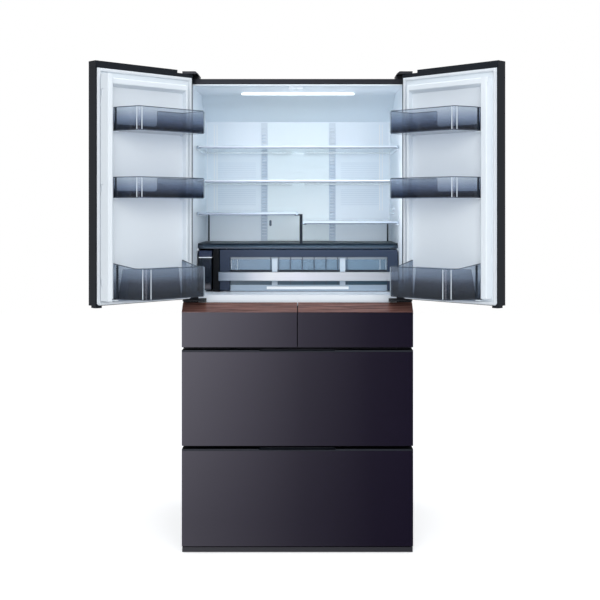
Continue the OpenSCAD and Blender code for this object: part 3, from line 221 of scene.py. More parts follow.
def solids_of(form):
    """The separate solids of a mesh, as (vertices, lowest corner, highest corner)."""
    rest = set(form.verts)
    while rest:
        solid, edge = set(), {next(iter(rest))}
        while edge:
            solid |= edge
            edge = {link.other_vert(vertex) for vertex in edge for link in vertex.link_edges} - solid
        rest -= solid
        low, high = (Vector([pick(v.co[i] for v in solid) for i in range(3)]) for pick in (min, max))
        yield list(solid), low, high


def merged(mesh):
    """An edit mesh in which the loose triangles of a CAD node are joined."""
    form = bmesh.new()
    form.from_mesh(mesh)
    bmesh.ops.remove_doubles(form, verts=form.verts, dist=2e-6)
    return form


def finished(node, ease, before=None):
    """A CAD node's shape with its edges eased, without the solids that start behind y = before."""
    mesh = frame["nodes"][node].data.copy()
    mesh.materials.clear()
    form = merged(mesh)
    for solid, low, high in list(solids_of(form)) if before else ():
        if low.y > before:
            bmesh.ops.delete(form, geom=solid, context="VERTS")
    bmesh.ops.dissolve_limit(form, angle_limit=math.radians(0.3), verts=form.verts, edges=form.edges)
    form.to_mesh(mesh)
    form.free()
    mesh.validate()
    for attribute in [a.name for a in mesh.attributes if a.name in ("custom_normal", "UVMap")]:
        mesh.attributes.remove(mesh.attributes[attribute])
    return rounded(linked(node + "_finished", mesh), ease)


def dressed(node, body, slot, material, ease=0):
    """Finishes a CAD node's shape and dresses it on its body."""
    return kept(finished(node, ease), body, slot, material, node)


def surface(name, colour, second, patch, grain, relief, **sockets):
    """A material whose colour drifts between two shades over patches, with a fine grain, in metres."""
    material = bpy.data.materials.new(name)
    material.use_nodes = True
    tree = material.node_tree
    shader = tree.nodes["Principled BSDF"]
    for socket, value in sockets.items():
        shader.inputs[socket.replace("_", " ")].default_value = value
    where = add(tree, "ShaderNodeTexCoord").outputs["Object"]
    drift = add(tree, "ShaderNodeTexNoise", {"Vector": where, "Scale": 1 / patch, "Detail": 3.0})
    shades = add(tree, "ShaderNodeMix", {0: drift, 6: linear(colour), 7: linear(second)}, data_type="RGBA")
    tree.links.new(shades.outputs[2], shader.inputs["Base Color"])
    if relief:
        fine = add(tree, "ShaderNodeTexNoise", {"Vector": where, "Scale": 1 / grain, "Detail": 2.0})
        bump = add(tree, "ShaderNodeBump", {"Height": fine, "Distance": relief, "Strength": 0.6})
        tree.links.new(bump.outputs["Normal"], shader.inputs["Normal"])
    return material


coated_steel = surface("powder coated steel", "#12161c", "#181c23", 0.4, 0.0012, 0.00006, Roughness=0.42,
                       Specular_IOR_Level=0.35)
dressed("outer_case", "cabinet", "case_steel", coated_steel, 0.0008)


# Rear panels. A galvanised sheet closes the foamed back, and a second one with two rows of slots
# lets the machine room breathe. Both are screwed on, and the zinc shows its pale spangle.
def new_tree(name, sockets):
    """A geometry tree for a material, with named inputs given as label, socket type and value."""
    tree = bpy.data.node_groups.new(name, "GeometryNodeTree")
    for label, kind, value in (*sockets, ("Material", "Material", None)):
        socket = tree.interface.new_socket(label, in_out="INPUT", socket_type="NodeSocket" + kind)
        if value is not None:
            socket.default_value = value
    tree.interface.new_socket("Geometry", in_out="OUTPUT", socket_type="NodeSocketGeometry")
    return tree, tree.nodes.new("NodeGroupInput").outputs


def end_tree(tree, given, geometry, smooth=True):
    """Ends a tree: real geometry, shaded smooth or flat, with its material."""
    real = add(tree, "GeometryNodeRealizeInstances", {0: geometry})
    shade = add(tree, "GeometryNodeSetShadeSmooth", {0: real, "Shade Smooth": smooth})
    painted = add(tree, "GeometryNodeSetMaterial", {0: shade, "Material": given["Material"]})
    add(tree, "NodeGroupOutput", {0: painted})
    return tree


def joined(tree, first, second):
    """Joins two geometries of a tree."""
    both = add(tree, "GeometryNodeJoinGeometry", {0: first})
    tree.links.new(out_of(second), both.inputs[0])
    return both


def row_of(tree, given, shape):
    """Places a shape on the points of a straight row."""
    row = add(tree, "GeometryNodeMeshLine", {
        "Count": given["Count"], "Start Location": given["First"], "Offset": given["Step"]}, mode="OFFSET")
    return add(tree, "GeometryNodeInstanceOnPoints", {0: row, "Instance": shape})


def grown(name, tree, values, place=Matrix.Identity(4), path=(), closed=True):
    """Runs a geometry tree once, along a path if it needs one, and keeps the plain mesh at its place."""
    line = bpy.data.meshes.new(name)
    links = [(i, (i + 1) % len(path)) for i in range(len(path) if closed else len(path) - 1)]
    line.from_pydata([Vector(point).to_3d() for point in path], links, [])
    holder = linked(name, line)
    modifier = holder.modifiers.new(name, "NODES")
    modifier.node_group = tree
    for item in tree.interface.items_tree:
        if item.in_out == "INPUT" and item.name in values:
            modifier[item.identifier] = values[item.name]
    bpy.context.view_layer.update()
    settled(holder)
    form = bmesh.new()
    form.from_mesh(holder.data)
    form.transform(place)
    bmesh.ops.remove_doubles(form, verts=form.verts, dist=1e-6)
    bmesh.ops.recalc_face_normals(form, faces=form.faces)
    form.to_mesh(holder.data)
    form.free()
    holder.data.set_sharp_from_angle(angle=math.radians(35))
    return holder


def screw_tree():
    """Pan head screws with a cross recess, in a straight row that faces +Z."""
    tree, given = new_tree("screw row", [
        ("Count", "Int", 2), ("First", "Vector", None), ("Step", "Vector", None),
        ("Head radius", "Float", 0.004)])
    dome = add(tree, "GeometryNodeMeshUVSphere", {
        "Segments": 16, "Rings": 10, "Radius": given["Head radius"]})
    flat = add(tree, "GeometryNodeTransform", {0: dome, "Scale": (1, 1, 0.45)})
    arm = add(tree, "GeometryNodeMeshCube", {"Size": (0.0044, 0.0009, 0.003)})
    turned = add(tree, "GeometryNodeTransform", {0: arm, "Rotation": (0, 0, math.pi / 2)})
    raised = add(tree, "GeometryNodeTransform", {0: joined(tree, arm, turned), "Translation": (0, 0, 0.0021)})
    headed = add(tree, "GeometryNodeMeshBoolean", {0: flat, 1: raised}, operation="DIFFERENCE")
    return end_tree(tree, given, row_of(tree, given, headed))


galvanised = surface("galvanised sheet", "#8b949c", "#9aa3aa", 0.03, 0.0025, 0.00002,
                     Roughness=0.36, Metallic=0.85)
zinc_plate = surface("zinc plated steel", "#a3a9ad", "#8f969c", 0.02, 0.0011, 0.00001,
                     Roughness=0.3, Metallic=0.95)
dressed("rear_panels", "cabinet", "rear_steel", galvanised)
back_low, back_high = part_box("rear_panels")
screw_row = screw_tree()
screw_inset = 0.02
screw_count = 9
screw_gap = (back_high.x - back_low.x - 2 * screw_inset) / (screw_count - 1)
facing_back = Matrix.Rotation(math.radians(-90), 4, "X")
on_back = Matrix.Translation((0, back_high.y, 0)) @ facing_back
for number, z in enumerate((back_high.z - 0.012, 0.252, 0.228, 0.032), 1):
    screws = grown(f"rear_screws_{number}", screw_row, {
        "Count": screw_count, "First": (back_low.x + screw_inset, -z, 0), "Step": (screw_gap, 0, 0),
        "Head radius": 0.0042, "Material": zinc_plate}, on_back)
    kept(screws, "cabinet", "zinc_steel", None)

# Base. A zinc plated tray carries the cabinet on two screw feet and two rollers, behind a dark kick
# plate moulded in one piece.
black_abs = surface("moulded black ABS", "#15181b", "#1b1f23", 0.3, 0.0009, 0.00004,
                    Roughness=0.38, Specular_IOR_Level=0.5)
kick_abs = surface("moulded dark grey ABS", "#191a1e", "#202126", 0.3, 0.0009, 0.00004,
                   Roughness=0.4, Specular_IOR_Level=0.5)
roller_nylon = surface("hard black nylon", "#26272a", "#303236", 0.05, 0.0008, 0.00003, Roughness=0.5)
dressed("base_plate", "cabinet", "zinc_steel", zinc_plate)
dressed("kick_plate", "cabinet", "black_plastic", kick_abs, 0.0012)
dressed("front_feet", "cabinet", "black_plastic", black_abs, 0.0006)
for word in ("left", "right"):
    dressed("rear_roller_" + word, "roller_" + word, "roller_plastic", roller_nylon, 0.0005)

# Insulation. Rigid polyurethane foam fills the walls between the sheet and the liners. It shows only
# in the machine room, as a cream skin with small blisters.
foam_skin = surface("rigid polyurethane foam", "#d9cb98", "#e6dab0", 0.02, 0.004, 0.0006, Roughness=0.85)
dressed("insulation_foam", "cabinet", "foam", foam_skin)


# Liners. Sheets of white ABS are drawn hot into deep tubs, which leaves soft corners, a faint gloss
# and a very slight orange peel. Their colour carries a painted cool cast of the light inside.
def faces_of(piece, *materials):
    """Adds materials to a piece as numbers 1, 2 and so on, and gives its faces to paint with them."""
    for material in materials:
        piece.data.materials.append(material)
    return piece.data.polygons


# The bluish white is a painted cast of the cool light inside
white_abs_cool_cast = surface("drawn white ABS with painted cool cast", "#e8f1fa", "#eef5fb", 0.5, 0.004, 0.00008,
                    Roughness=0.3, Specular_IOR_Level=0.45)
satin_abs = surface("satin white ABS", "#e2eaf0", "#eaf0f5", 0.4, 0.0015, 0.00005, Roughness=0.42)
liner_ease = 0.0012
liner = dressed("fridge_liner", "cabinet", "liner_white", white_abs_cool_cast, liner_ease)
# On the ribs and steps of the back wall the front faces are painted: a little darker on the ribs as painted
# shade, and brighter on the steps as a painted highlight
rib_shade_abs = surface("white ABS with painted rib shade", "#dbe5ef", "#e2eaf3", 0.5, 0.004, 0.00008, Roughness=0.3)
step_highlight_abs = surface("white ABS with painted step highlight", "#f8fcff", "#ffffff", 0.5, 0.004, 0.00008, Roughness=0.25)
duct_low, duct_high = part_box("duct_panel")
rib_front = duct_high.y - 0.0015
rib_tall = 0.005
for face in faces_of(liner, rib_shade_abs, step_highlight_abs):
    if face.normal.y < -0.9 and abs(face.center.y - rib_front) < 0.0004:
        heights = [liner.data.vertices[v].co.z for v in face.vertices]
        face.material_index = 1 if max(heights) - min(heights) < rib_tall else 2
lower_liners = dressed("freezer_liners", "cabinet", "liner_white", white_abs_cool_cast, liner_ease)
dressed("upper_partition", "cabinet", "partition_white", satin_abs, liner_ease)
walls = dressed("freezer_partitions", "cabinet", "partition_white", satin_abs, liner_ease)
# Steel strips, coated as the case is, face the walls between the drawers and the rims of their liners
rim_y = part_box("freezer_liners")[0].y + 0.002
for piece in (walls, lower_liners):
    for face in faces_of(piece, coated_steel):
        if face.normal.y < -0.9 and face.center.y < rim_y:
            face.material_index = 1

# Air duct and lamp. The cover of the duct is one moulding with a column of louvres at each side, painted
# darker as painted shade, and paler over the top shelf as painted light. The lamp is a milky diffuser over a
# strip of white diodes.
duct_abs = surface("pale moulded ABS", "#e6f1f6", "#eef6f9", 0.4, 0.0015, 0.00004, Roughness=0.34)
louvre_shade_abs = surface("shaded louvre column", "#c2d0df", "#cbd6e3", 0.3, 0.0015, 0.00004, Roughness=0.4)
slot_abs = surface("grey sensor window", "#56677a", "#617286", 0.1, 0.001, 0.00002, Roughness=0.3)
louvre_light_abs = surface("lit louvre column", "#d8e1ea", "#dfe7ee", 0.3, 0.0015, 0.00004, Roughness=0.4)
duct = dressed("duct_panel", "cabinet", "duct_plastic", duct_abs, 0.0008)
louvre_inner = duct_high.x - 0.0285
top_shelf_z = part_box("shelf_upper")[1].z
for face in faces_of(duct, louvre_shade_abs, slot_abs, louvre_light_abs):
    x, y, z = face.center
    # Painted shade on the louvre columns, and painted light on them above the top shelf
    if abs(x) > louvre_inner:
        face.material_index = 3 if z > top_shelf_z else 1
    elif x < -0.05 and y > duct_low.y + 0.0004 and duct_low.z + 0.01 < z < duct_high.z - 0.01:
        face.material_index = 2
diffuser = surface("milky diffuser", "#f4fbff", "#ffffff", 0.2, 0.001, 0, Roughness=0.4,
                   Emission_Color=linear("#f3fbff"), Emission_Strength=1.6)
dressed("ceiling_light", "cabinet", "light_lens", diffuser, 0.0015)
lens_low, lens_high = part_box("ceiling_light")
lens_y = (lens_low.y + lens_high.y) / 2
diode_white = "#eff5fc"
lamp("diode_strip", (0, lens_y, lens_low.z - 0.004), (0, lens_y + 0.12, 1.0), (0.45, 0.03), 0.28, diode_white)
lamp("diode_edge", (0, -0.10, 1.765), (0, 0.25, 1.15), (0.7, 0.04), 0.2, diode_white)

# Cooling machinery. The compressor is a deep drawn steel can in black enamel on rubber feet, with
# copper pipes. The coils are aluminium fins on tubes, and each has a moulded fan before it.
enamel = surface("black enamel", "#121315", "#1a1b1e", 0.05, 0.003, 0.00003, Roughness=0.24)
fin_metal = surface("plain aluminium fins", "#b7bdc2", "#a4abb0", 0.02, 0.001, 0.00001,
                    Roughness=0.35, Metallic=0.95)
copper = surface("drawn copper tube", "#b06a48", "#9b573a", 0.03, 0.002, 0.00001,
                 Roughness=0.28, Metallic=1.0)
fan_nylon = surface("moulded grey nylon", "#34383e", "#3c4147", 0.04, 0.0008, 0.00003, Roughness=0.45)
dressed("compressor", "cabinet", "compressor_black", enamel, 0.0006)
for node in ("condenser", "evaporator"):
    dressed(node, "cabinet", "fin_aluminium", fin_metal)


def fan_tree():
    """A fan rotor that turns about Z: a hub with a row of twisted blades round it."""
    tree, given = new_tree("fan rotor", [
        ("Blades", "Int", 7), ("Radius", "Float", 0.07), ("Depth", "Float", 0.02),
        ("Pitch", "Float", math.radians(34))])

    def sized(value, by, how="MULTIPLY"):
        """A value multiplied or divided by another."""
        return add(tree, "ShaderNodeMath", {0: value, 1: by}, operation=how)

    hub = add(tree, "GeometryNodeMeshCylinder", {
        "Vertices": 32, "Radius": sized(given["Radius"], 0.3), "Depth": given["Depth"]})
    length = sized(given["Radius"], 0.74)
    sheet = add(tree, "GeometryNodeMeshGrid", {
        "Size X": length, "Size Y": sized(given["Radius"], 0.5), "Vertices X": 9, "Vertices Y": 7})
    shift = add(tree, "ShaderNodeCombineXYZ", {"X": sized(given["Radius"], 0.61)})
    # The blade turns flatter towards its tip
    spot = add(tree, "GeometryNodeInputPosition")
    share = sized(add(tree, "ShaderNodeSeparateXYZ", {0: spot}).outputs["X"], length, "DIVIDE")
    twist = add(tree, "ShaderNodeMath", {0: share, 1: -0.7, 2: 1.0}, operation="MULTIPLY_ADD")
    turned = add(tree, "ShaderNodeVectorRotate", {
        "Vector": spot, "Angle": sized(twist, given["Pitch"])}, rotation_type="X_AXIS")
    bent = add(tree, "GeometryNodeSetPosition", {0: sheet, "Position": turned})
    moved = add(tree, "GeometryNodeTransform", {0: bent, "Translation": shift})
    thick = add(tree, "GeometryNodeExtrudeMesh", {
        0: moved, "Offset Scale": 0.0016, "Individual": False}, mode="FACES")
    back = add(tree, "GeometryNodeFlipFaces", {0: moved})
    blade = joined(tree, thick, back)
    points = add(tree, "GeometryNodePoints", {"Count": given["Blades"]})
    turn = sized(add(tree, "GeometryNodeInputIndex"), sized(2 * math.pi, given["Blades"], "DIVIDE"))
    around = add(tree, "ShaderNodeCombineXYZ", {"Z": turn})
    blades = add(tree, "GeometryNodeInstanceOnPoints", {0: points, "Instance": blade, "Rotation": around})
    return end_tree(tree, given, joined(tree, hub, blades))


rotor = fan_tree()
joint_of_body = {joint["child"]: joint for joint in frame["joints"]}
for name, blades, radius, depth in (("condenser_fan", 7, 0.070, 0.020), ("evaporator_fan", 5, 0.056, 0.016)):
    fan = grown(name + "_rotor", rotor, {
        "Blades": blades, "Radius": radius, "Depth": depth, "Material": fan_nylon},
        Matrix.Translation(joint_of_body[name]["pos_m"]) @ facing_back)
    kept(fan, name, "fan_plastic", None, name)


def sweep_tree():
    """A bar of a rounded section along a path, with the path's corners bent to a radius."""
    tree, given = new_tree("swept bar", [
        ("Path", "Geometry", None), ("Bend", "Float", 0.01), ("Width", "Float", 0.01),
        ("Height", "Float", 0.01), ("Corner", "Float", 0.002)])

    def filleted(curve, radius, count):
        """A curve with its corners bent to a radius."""
        return add(tree, "GeometryNodeFilletCurve", {
            "Curve": curve, "Radius": radius, "Count": count, "Limit Radius": True}, mode="POLY")

    line = add(tree, "GeometryNodeMeshToCurve", {0: given["Path"]})
    section = add(tree, "GeometryNodeCurvePrimitiveQuadrilateral", {
        "Width": given["Width"], "Height": given["Height"]})
    bar = add(tree, "GeometryNodeCurveToMesh", {
        "Curve": filleted(line, given["Bend"], 8), "Profile Curve": filleted(section, given["Corner"], 4),
        "Fill Caps": True})
    return end_tree(tree, given, bar)


bar = sweep_tree()


def bent_bar(name, path, bend, width, height, corner, material, place=Matrix.Identity(4), closed=False):
    """A bar of a rounded section along a path."""
    return grown(name, bar, {"Bend": bend, "Width": width, "Height": height, "Corner": corner,
                             "Material": material}, place, path, closed)


can_low, can_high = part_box("compressor")
can_x = (can_low.x + can_high.x) / 2
pipe_y = can_high.y - 0.006
coil_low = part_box("condenser")[0]
discharge = [
    (can_x, pipe_y - 0.01, 0.164), (can_x, pipe_y + 0.012, 0.164), (can_x + 0.03, pipe_y + 0.02, 0.2),
    (can_x + 0.12, pipe_y + 0.01, 0.2), (coil_low.x + 0.03, coil_low.y + 0.03, 0.19),
    (coil_low.x + 0.04, coil_low.y + 0.02, 0.182)]
suction = [
    (can_x, pipe_y - 0.01, 0.084), (can_x, pipe_y + 0.014, 0.084), (can_x - 0.06, pipe_y + 0.02, 0.1),
    (can_x - 0.13, pipe_y - 0.02, 0.15), (can_x - 0.13, pipe_y - 0.05, 0.22),
    (can_x - 0.13, pipe_y - 0.06, 0.245)]
for name, points, radius in (("discharge_pipe", discharge, 0.003), ("suction_pipe", suction, 0.004)):
    pipe = bent_bar(name, points, 0.02, 2 * radius, 2 * radius, radius, copper)
    kept(pipe, "cabinet", "fin_aluminium", None)

# Rails and ice maker. The drawers run in zinc plated channels. The ice maker is a grey moulded motor
# box under the ceiling of the left compartment, with a tray of sixteen cups that turns over.
grey_abs = surface("moulded grey ABS", "#aeb7bf", "#b8c0c8", 0.1, 0.001, 0.00004, Roughness=0.4)
dressed("drawer_rails", "cabinet", "zinc_steel", zinc_plate, 0.0004)
dressed("ice_maker", "cabinet", "grey_plastic", grey_abs, 0.0008)
dressed("ice_tray", "ice_tray", "grey_plastic", grey_abs, 0.0006)

# Hinges. Steel brackets, painted black, hold a pin over and under each door. A black moulded cover
# with two screws hides each upper bracket.
hinge_paint = surface("black painted steel", "#07090b", "#0d1013", 0.05, 0.001, 0.00003,
                      Roughness=0.5, Specular_IOR_Level=0.3)
dressed("door_hinges", "cabinet", "zinc_steel", hinge_paint, 0.0004)
dressed("hinge_covers", "cabinet", "black_plastic", black_abs, 0.0016)
cover_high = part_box("hinge_covers")[1]
screw_x, screw_y, screw_z = cover_high - Vector((0.03, 0.045, 0.0012))
for side, word in ((-1, "left"), (1, "right")):
    place = Matrix.Translation((side * screw_x, screw_y, screw_z))
    screws = grown(f"{word}_cover_screws", screw_row, {
        "Count": 2, "First": (0, 0, 0), "Step": (0, 0.026, 0), "Head radius": 0.0045,
        "Material": zinc_plate}, place)
    kept(screws, "cabinet", "zinc_steel", None)


# Shelves. Each is a pane of clear toughened glass with a front trim over a dark chromed line, and a rear
# trim.
# The dark line is painted shade and a painted reflection of the trim's underside. Clips hold them.
# The trims of the full shelves are pearl; those of the half shelves are painted a darker grey as painted
# shade.
def clear(name, colour, second, shadow, roughness, ior, share):
    """A see-through material. The light goes through it in the colour of its shadow."""
    material = surface(
        name, colour, second, 0.15, 0.001, 0, Roughness=roughness, IOR=ior, Transmission_Weight=share)
    tree = material.node_tree
    passing = add(tree, "ShaderNodeBsdfTransparent", {"Color": linear(shadow)})
    shadows = add(tree, "ShaderNodeLightPath").outputs["Is Shadow Ray"]
    either = mixed(tree, shadows, tree.nodes["Principled BSDF"], passing)
    tree.links.new(out_of(either), tree.nodes["Material Output"].inputs["Surface"])
    return material


def meshed(name, form, ease, segments=2):
    """Turns an edit mesh into a piece with eased edges."""
    mesh = bpy.data.meshes.new(name)
    form.to_mesh(mesh)
    form.free()
    return rounded(linked(name, mesh), ease, segments)


def boxed(name, low, high, ease):
    """A block between two corners with eased edges."""
    form = bmesh.new()
    bmesh.ops.create_cube(form, size=1.0)
    low, high = Vector(low), Vector(high)
    for vertex in form.verts:
        vertex.co = Vector([low[i] + (vertex.co[i] + 0.5) * (high[i] - low[i]) for i in range(3)])
    return meshed(name, form, ease, 3)


def prism(name, ring, other, ease):
    """A solid between two like rings of points, with eased edges."""
    form = bmesh.new()
    ends = [[form.verts.new(point) for point in points] for points in (ring, other)]
    for end in ends:
        form.faces.new(end)
    for i in range(len(ring)):
        j = (i + 1) % len(ring)
        form.faces.new((ends[0][i], ends[0][j], ends[1][j], ends[1][i]))
    bmesh.ops.recalc_face_normals(form, faces=form.faces)
    return meshed(name, form, ease)


def swept(name, outline, low, high, ease):
    """A closed outline of (y, z) points run along x, with eased edges."""
    return prism(name, *[[(x, y, z) for y, z in outline] for x in (low, high)], ease)


shelf_glass = clear("clear toughened glass", "#dbe9ee", "#e1edf1", "#f3f9fd", 0.02, 1.5, 1.0)
trim_abs = surface("glossy white trim", "#eef4f8", "#f6fafc", 0.2, 0.001, 0.00001, Roughness=0.16,
                   Specular_IOR_Level=0.7)
pearl_trim = surface("satin pearl trim", "#bccad6", "#e9eff4", 0.16, 0.001, 0, Roughness=0.3, Metallic=0.25)
# The grey of the half shelves' trims is a painted shade of the pearl trim
half_trim_shade = surface("satin trim with painted shade", "#9caab8", "#adbac6", 0.16, 0.001, 0, Roughness=0.35)
trim_underside_shade = surface("chromed line with painted shade", "#4d5d70", "#a9b6c4", 0.11, 0.001, 0, Roughness=0.22,
                      Metallic=0.7)
clip_abs = surface("moulded blue grey clips", "#8fa0ae", "#9cabb8", 0.05, 0.0008, 0.00002, Roughness=0.3)
half_pane = 0.0024
pane_inset = 0.001
notch_half = 0.026
notch_depth = 0.0104
notch_gap = 0.002
trim_reach = 0.016
trim_half = 0.0058
trim_inset = 0.006
groove_y = 0.0075
groove_half = 0.0032
rear_reach = 0.014
rear_half = 0.006
clip_length = 0.0075
clip_reach = 0.034
arc = [math.pi * i / 12 for i in range(13)]


def on_shelf(piece, material, *replaced):
    """Dresses a piece of a shelf."""
    kept(piece, "cabinet", "shelf_glass", material, *replaced)


for node in ("shelf_upper", "shelf_middle", "shelf_lower_left", "shelf_lower_right"):
    low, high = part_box(node)
    z = (low.z + high.z) / 2
    back = high.y
    full = low.x < 0 < high.x
    left, right, edge = low.x + pane_inset, high.x - pane_inset, back - 2 * pane_inset
    outline = [(left, low.y + 0.006), (right, low.y + 0.006), (right, edge)]
    if full:
        outline += [(notch_half * math.cos(a), back - notch_depth * math.sin(a)) for a in arc]
    outline += [(left, edge)]
    faces = [[(x, y, level) for x, y in outline] for level in (z + half_pane, z - half_pane)]
    on_shelf(prism(node + "_pane", *faces, 0.0004), shelf_glass, node)
    # Front trim: a bullnose over the glass, with a fine groove under it
    under, groove = low.y + trim_reach, low.y + groove_y
    nose = [(low.y + 0.0055 - 0.0052 * math.sin(a), z + trim_half * math.cos(a)) for a in arc]
    nose += [(under, z - trim_half), (under, z - 0.0036), (groove, z - groove_half),
             (groove, z + groove_half), (under, z + 0.0034), (under, z + 0.0056)]
    on_shelf(swept(node + "_front_trim", nose, low.x + trim_inset, high.x - trim_inset, 0.0003),
             pearl_trim if full else half_trim_shade)
    # A dark chromed line under the front trim: painted shade and a painted reflection of its underside
    line = boxed(node + "_trim_underside_shade", (low.x + clip_length, low.y + 0.0002, z - 0.0056),
                 (high.x - clip_length, low.y + 0.005, z - 0.0006), 0.0008)
    on_shelf(line, trim_underside_shade)
    for end, word in ((low.x, "left"), (high.x - clip_length, "right")):
        on_shelf(boxed(f"{node}_{word}_clip", (end, low.y, z - 0.006),
                       (end + clip_length, low.y + clip_reach, z + 0.006), 0.0022), clip_abs)
    rear = [(back - rear_reach, z + 0.0034), (back - 0.001, z + rear_half), (back - 0.0001, z + rear_half),
            (back - 0.0001, z - rear_half), (back - rear_reach, z - 0.0045)]
    gap = notch_half + notch_gap
    for part, (start, end) in enumerate(((low.x, -gap), (gap, high.x)) if full else ((low.x, high.x),), 1):
        on_shelf(swept(f"{node}_rear_trim_{part}", rear, start, end, 0.0004), trim_abs)

# Cover of the chilled section. A dark slate moulding with a rolled and polished front lip roofs the
# case and the water tank, and thin posts on it carry the half shelves. The front of the lip is painted
# lighter as a painted highlight, and what lies under the roof is painted black as painted shade.
navy_abs = surface("moulded navy ABS", "#16263b", "#1b2c42", 0.3, 0.001, 0.00004, Roughness=0.4,
                   Specular_IOR_Level=0.4)
cover_abs = surface("moulded dark slate ABS", "#0d1823", "#121e2a", 0.3, 0.001, 0.00004, Roughness=0.42,
                    Specular_IOR_Level=0.3)
# A lighter slate for the lip's front faces: a painted highlight
lip_highlight_slate = surface("polished slate lip with painted highlight", "#33414f", "#3a4958", 0.3, 0.001, 0.00002, Roughness=0.3)
# Matt black for painted shade: under the chiller cover, and on the tops and bottoms of the drawer fronts
painted_shade_black = surface(
    "matt black painted shade", "#06080b", "#0a0d11", 0.2, 0.001, 0.00004, Roughness=0.6, Specular_IOR_Level=0.2)
# Dark navy for a strip behind the handle: a painted shadow
handle_shadow_navy = surface("matt navy painted shadow", "#141b25", "#1a222d", 0.2, 0.001, 0.00004, Roughness=0.5)
roof = dressed("chiller_cover", "cabinet", "navy_plastic", cover_abs, 0.0012)
frame_low, frame_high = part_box("case_front")
roof_under = frame_high.z + 0.004
lip_top = roof_under + 0.012
# The mesh is cut along the top of the lip, so that the lip's front can take its painted highlight
form = bmesh.new()
form.from_mesh(roof.data)
parts = form.verts[:] + form.edges[:] + form.faces[:]
bmesh.ops.bisect_plane(form, geom=parts, plane_co=(0, 0, lip_top), plane_no=(0, 0, 1))
form.to_mesh(roof.data)
form.free()
for face in faces_of(roof, lip_highlight_slate, painted_shade_black):
    middle = sum((roof.data.vertices[v].co for v in face.vertices), Vector()) / len(face.vertices)
    # Below the roof: painted shade in black; on the lip's front faces: a painted highlight
    if middle.z < roof_under - 0.001:
        face.material_index = 2
    elif middle.z < lip_top and face.normal.y < -0.3:
        face.material_index = 1


# Chilled case. A drawer with a clear tub behind a navy frame, and a flat handle of brushed and
# anodised aluminium across the whole front. The brushing runs along the handle.
def ramped(tree, share, shades):
    """A colour that runs through (place, shade) stops with a share from 0 to 1."""
    ramp = add(tree, "ShaderNodeValToRGB", {"Fac": share})
    stops = ramp.color_ramp.elements
    for stop, (place, shade) in zip(stops, (shades[0], shades[-1])):
        stop.position = place
        stop.color = linear(shade)
    for place, shade in shades[1:-1]:
        stops.new(place).color = linear(shade)
    return ramp.outputs["Color"]


def streaks(name, scale, detail, **sockets):
    """A new material with a noise drawn out in streaks: the material, its tree, its shader and the noise."""
    material = bpy.data.materials.new(name)
    material.use_nodes = True
    tree = material.node_tree
    shader = tree.nodes["Principled BSDF"]
    for socket, value in sockets.items():
        shader.inputs[socket].default_value = value
    where = add(tree, "ShaderNodeTexCoord").outputs["Object"]
    lines = add(tree, "ShaderNodeMapping", {"Vector": where, "Scale": scale})
    noise = add(tree, "ShaderNodeTexNoise", {"Vector": lines, "Scale": 1.0, **detail})
    return material, tree, shader, noise.outputs["Fac"]


# Real brush lines are 0.05 mm apart: they are drawn 0.8 mm apart, so that they show
brushed, tree, shader, hair = streaks(
    "brushed anodised aluminium", (6.0, 1250.0, 1250.0), {"Detail": 4.0}, Metallic=0.9, Roughness=0.34)
shade = add(tree, "ShaderNodeMix", {0: hair, 6: linear("#c3c8cc"), 7: linear("#e8ebec")}, data_type="RGBA")
# The colour darkens towards the left end of the handle: a painted reflection, laid over the brushing
where = add(tree, "ShaderNodeTexCoord").outputs["Object"]
along = add(tree, "ShaderNodeSeparateXYZ", {0: where}).outputs["X"]
length = add(tree, "ShaderNodeMapRange", {"Value": along, "From Min": -0.32, "From Max": 0.4})
depth = ramped(tree, length, (
    (0.01, "#95a2ac"), (0.144, "#bcc5c8"), (0.21, "#e2e5e4"), (0.29, "#f6f8f2"), (0.46, "#ffffff"),
    (0.74, "#f2f6f4"), (0.94, "#e0e4e4")))
anodised = add(tree, "ShaderNodeMix", {0: 1.0, 6: shade.outputs[2], 7: depth}, data_type="RGBA",
               blend_type="MULTIPLY")
tree.links.new(anodised.outputs[2], shader.inputs["Base Color"])
groove = add(tree, "ShaderNodeBump", {"Height": hair, "Distance": 0.00004, "Strength": 0.5})
tree.links.new(groove.outputs["Normal"], shader.inputs["Normal"])

clear_styrene = clear("clear polystyrene", "#aac8de", "#b6d0e3", "#dfeaf3", 0.06, 1.45, 0.76)
dressed("case_front", "chilled_case", "navy_plastic", navy_abs, 0.001)
dressed("case_handle", "chilled_case", "brushed_aluminium", brushed, 0.0008)
dressed("case_tub", "chilled_case", "clear_plastic", clear_styrene, 0.0008)


def row_tree():
    """Equal upright bars in a straight row."""
    tree, given = new_tree("bar row", [
        ("Count", "Int", 6), ("First", "Vector", None), ("Step", "Vector", None), ("Size", "Vector", None)])
    block = add(tree, "GeometryNodeMeshCube", {"Size": given["Size"]})
    return end_tree(tree, given, row_of(tree, given, block), False)


def on_tub(name, low, high, ease, material, slot="clear_plastic"):
    """A block moulded to the tub, or fixed to it."""
    kept(boxed(name, low, high, ease), "chilled_case", slot, material)


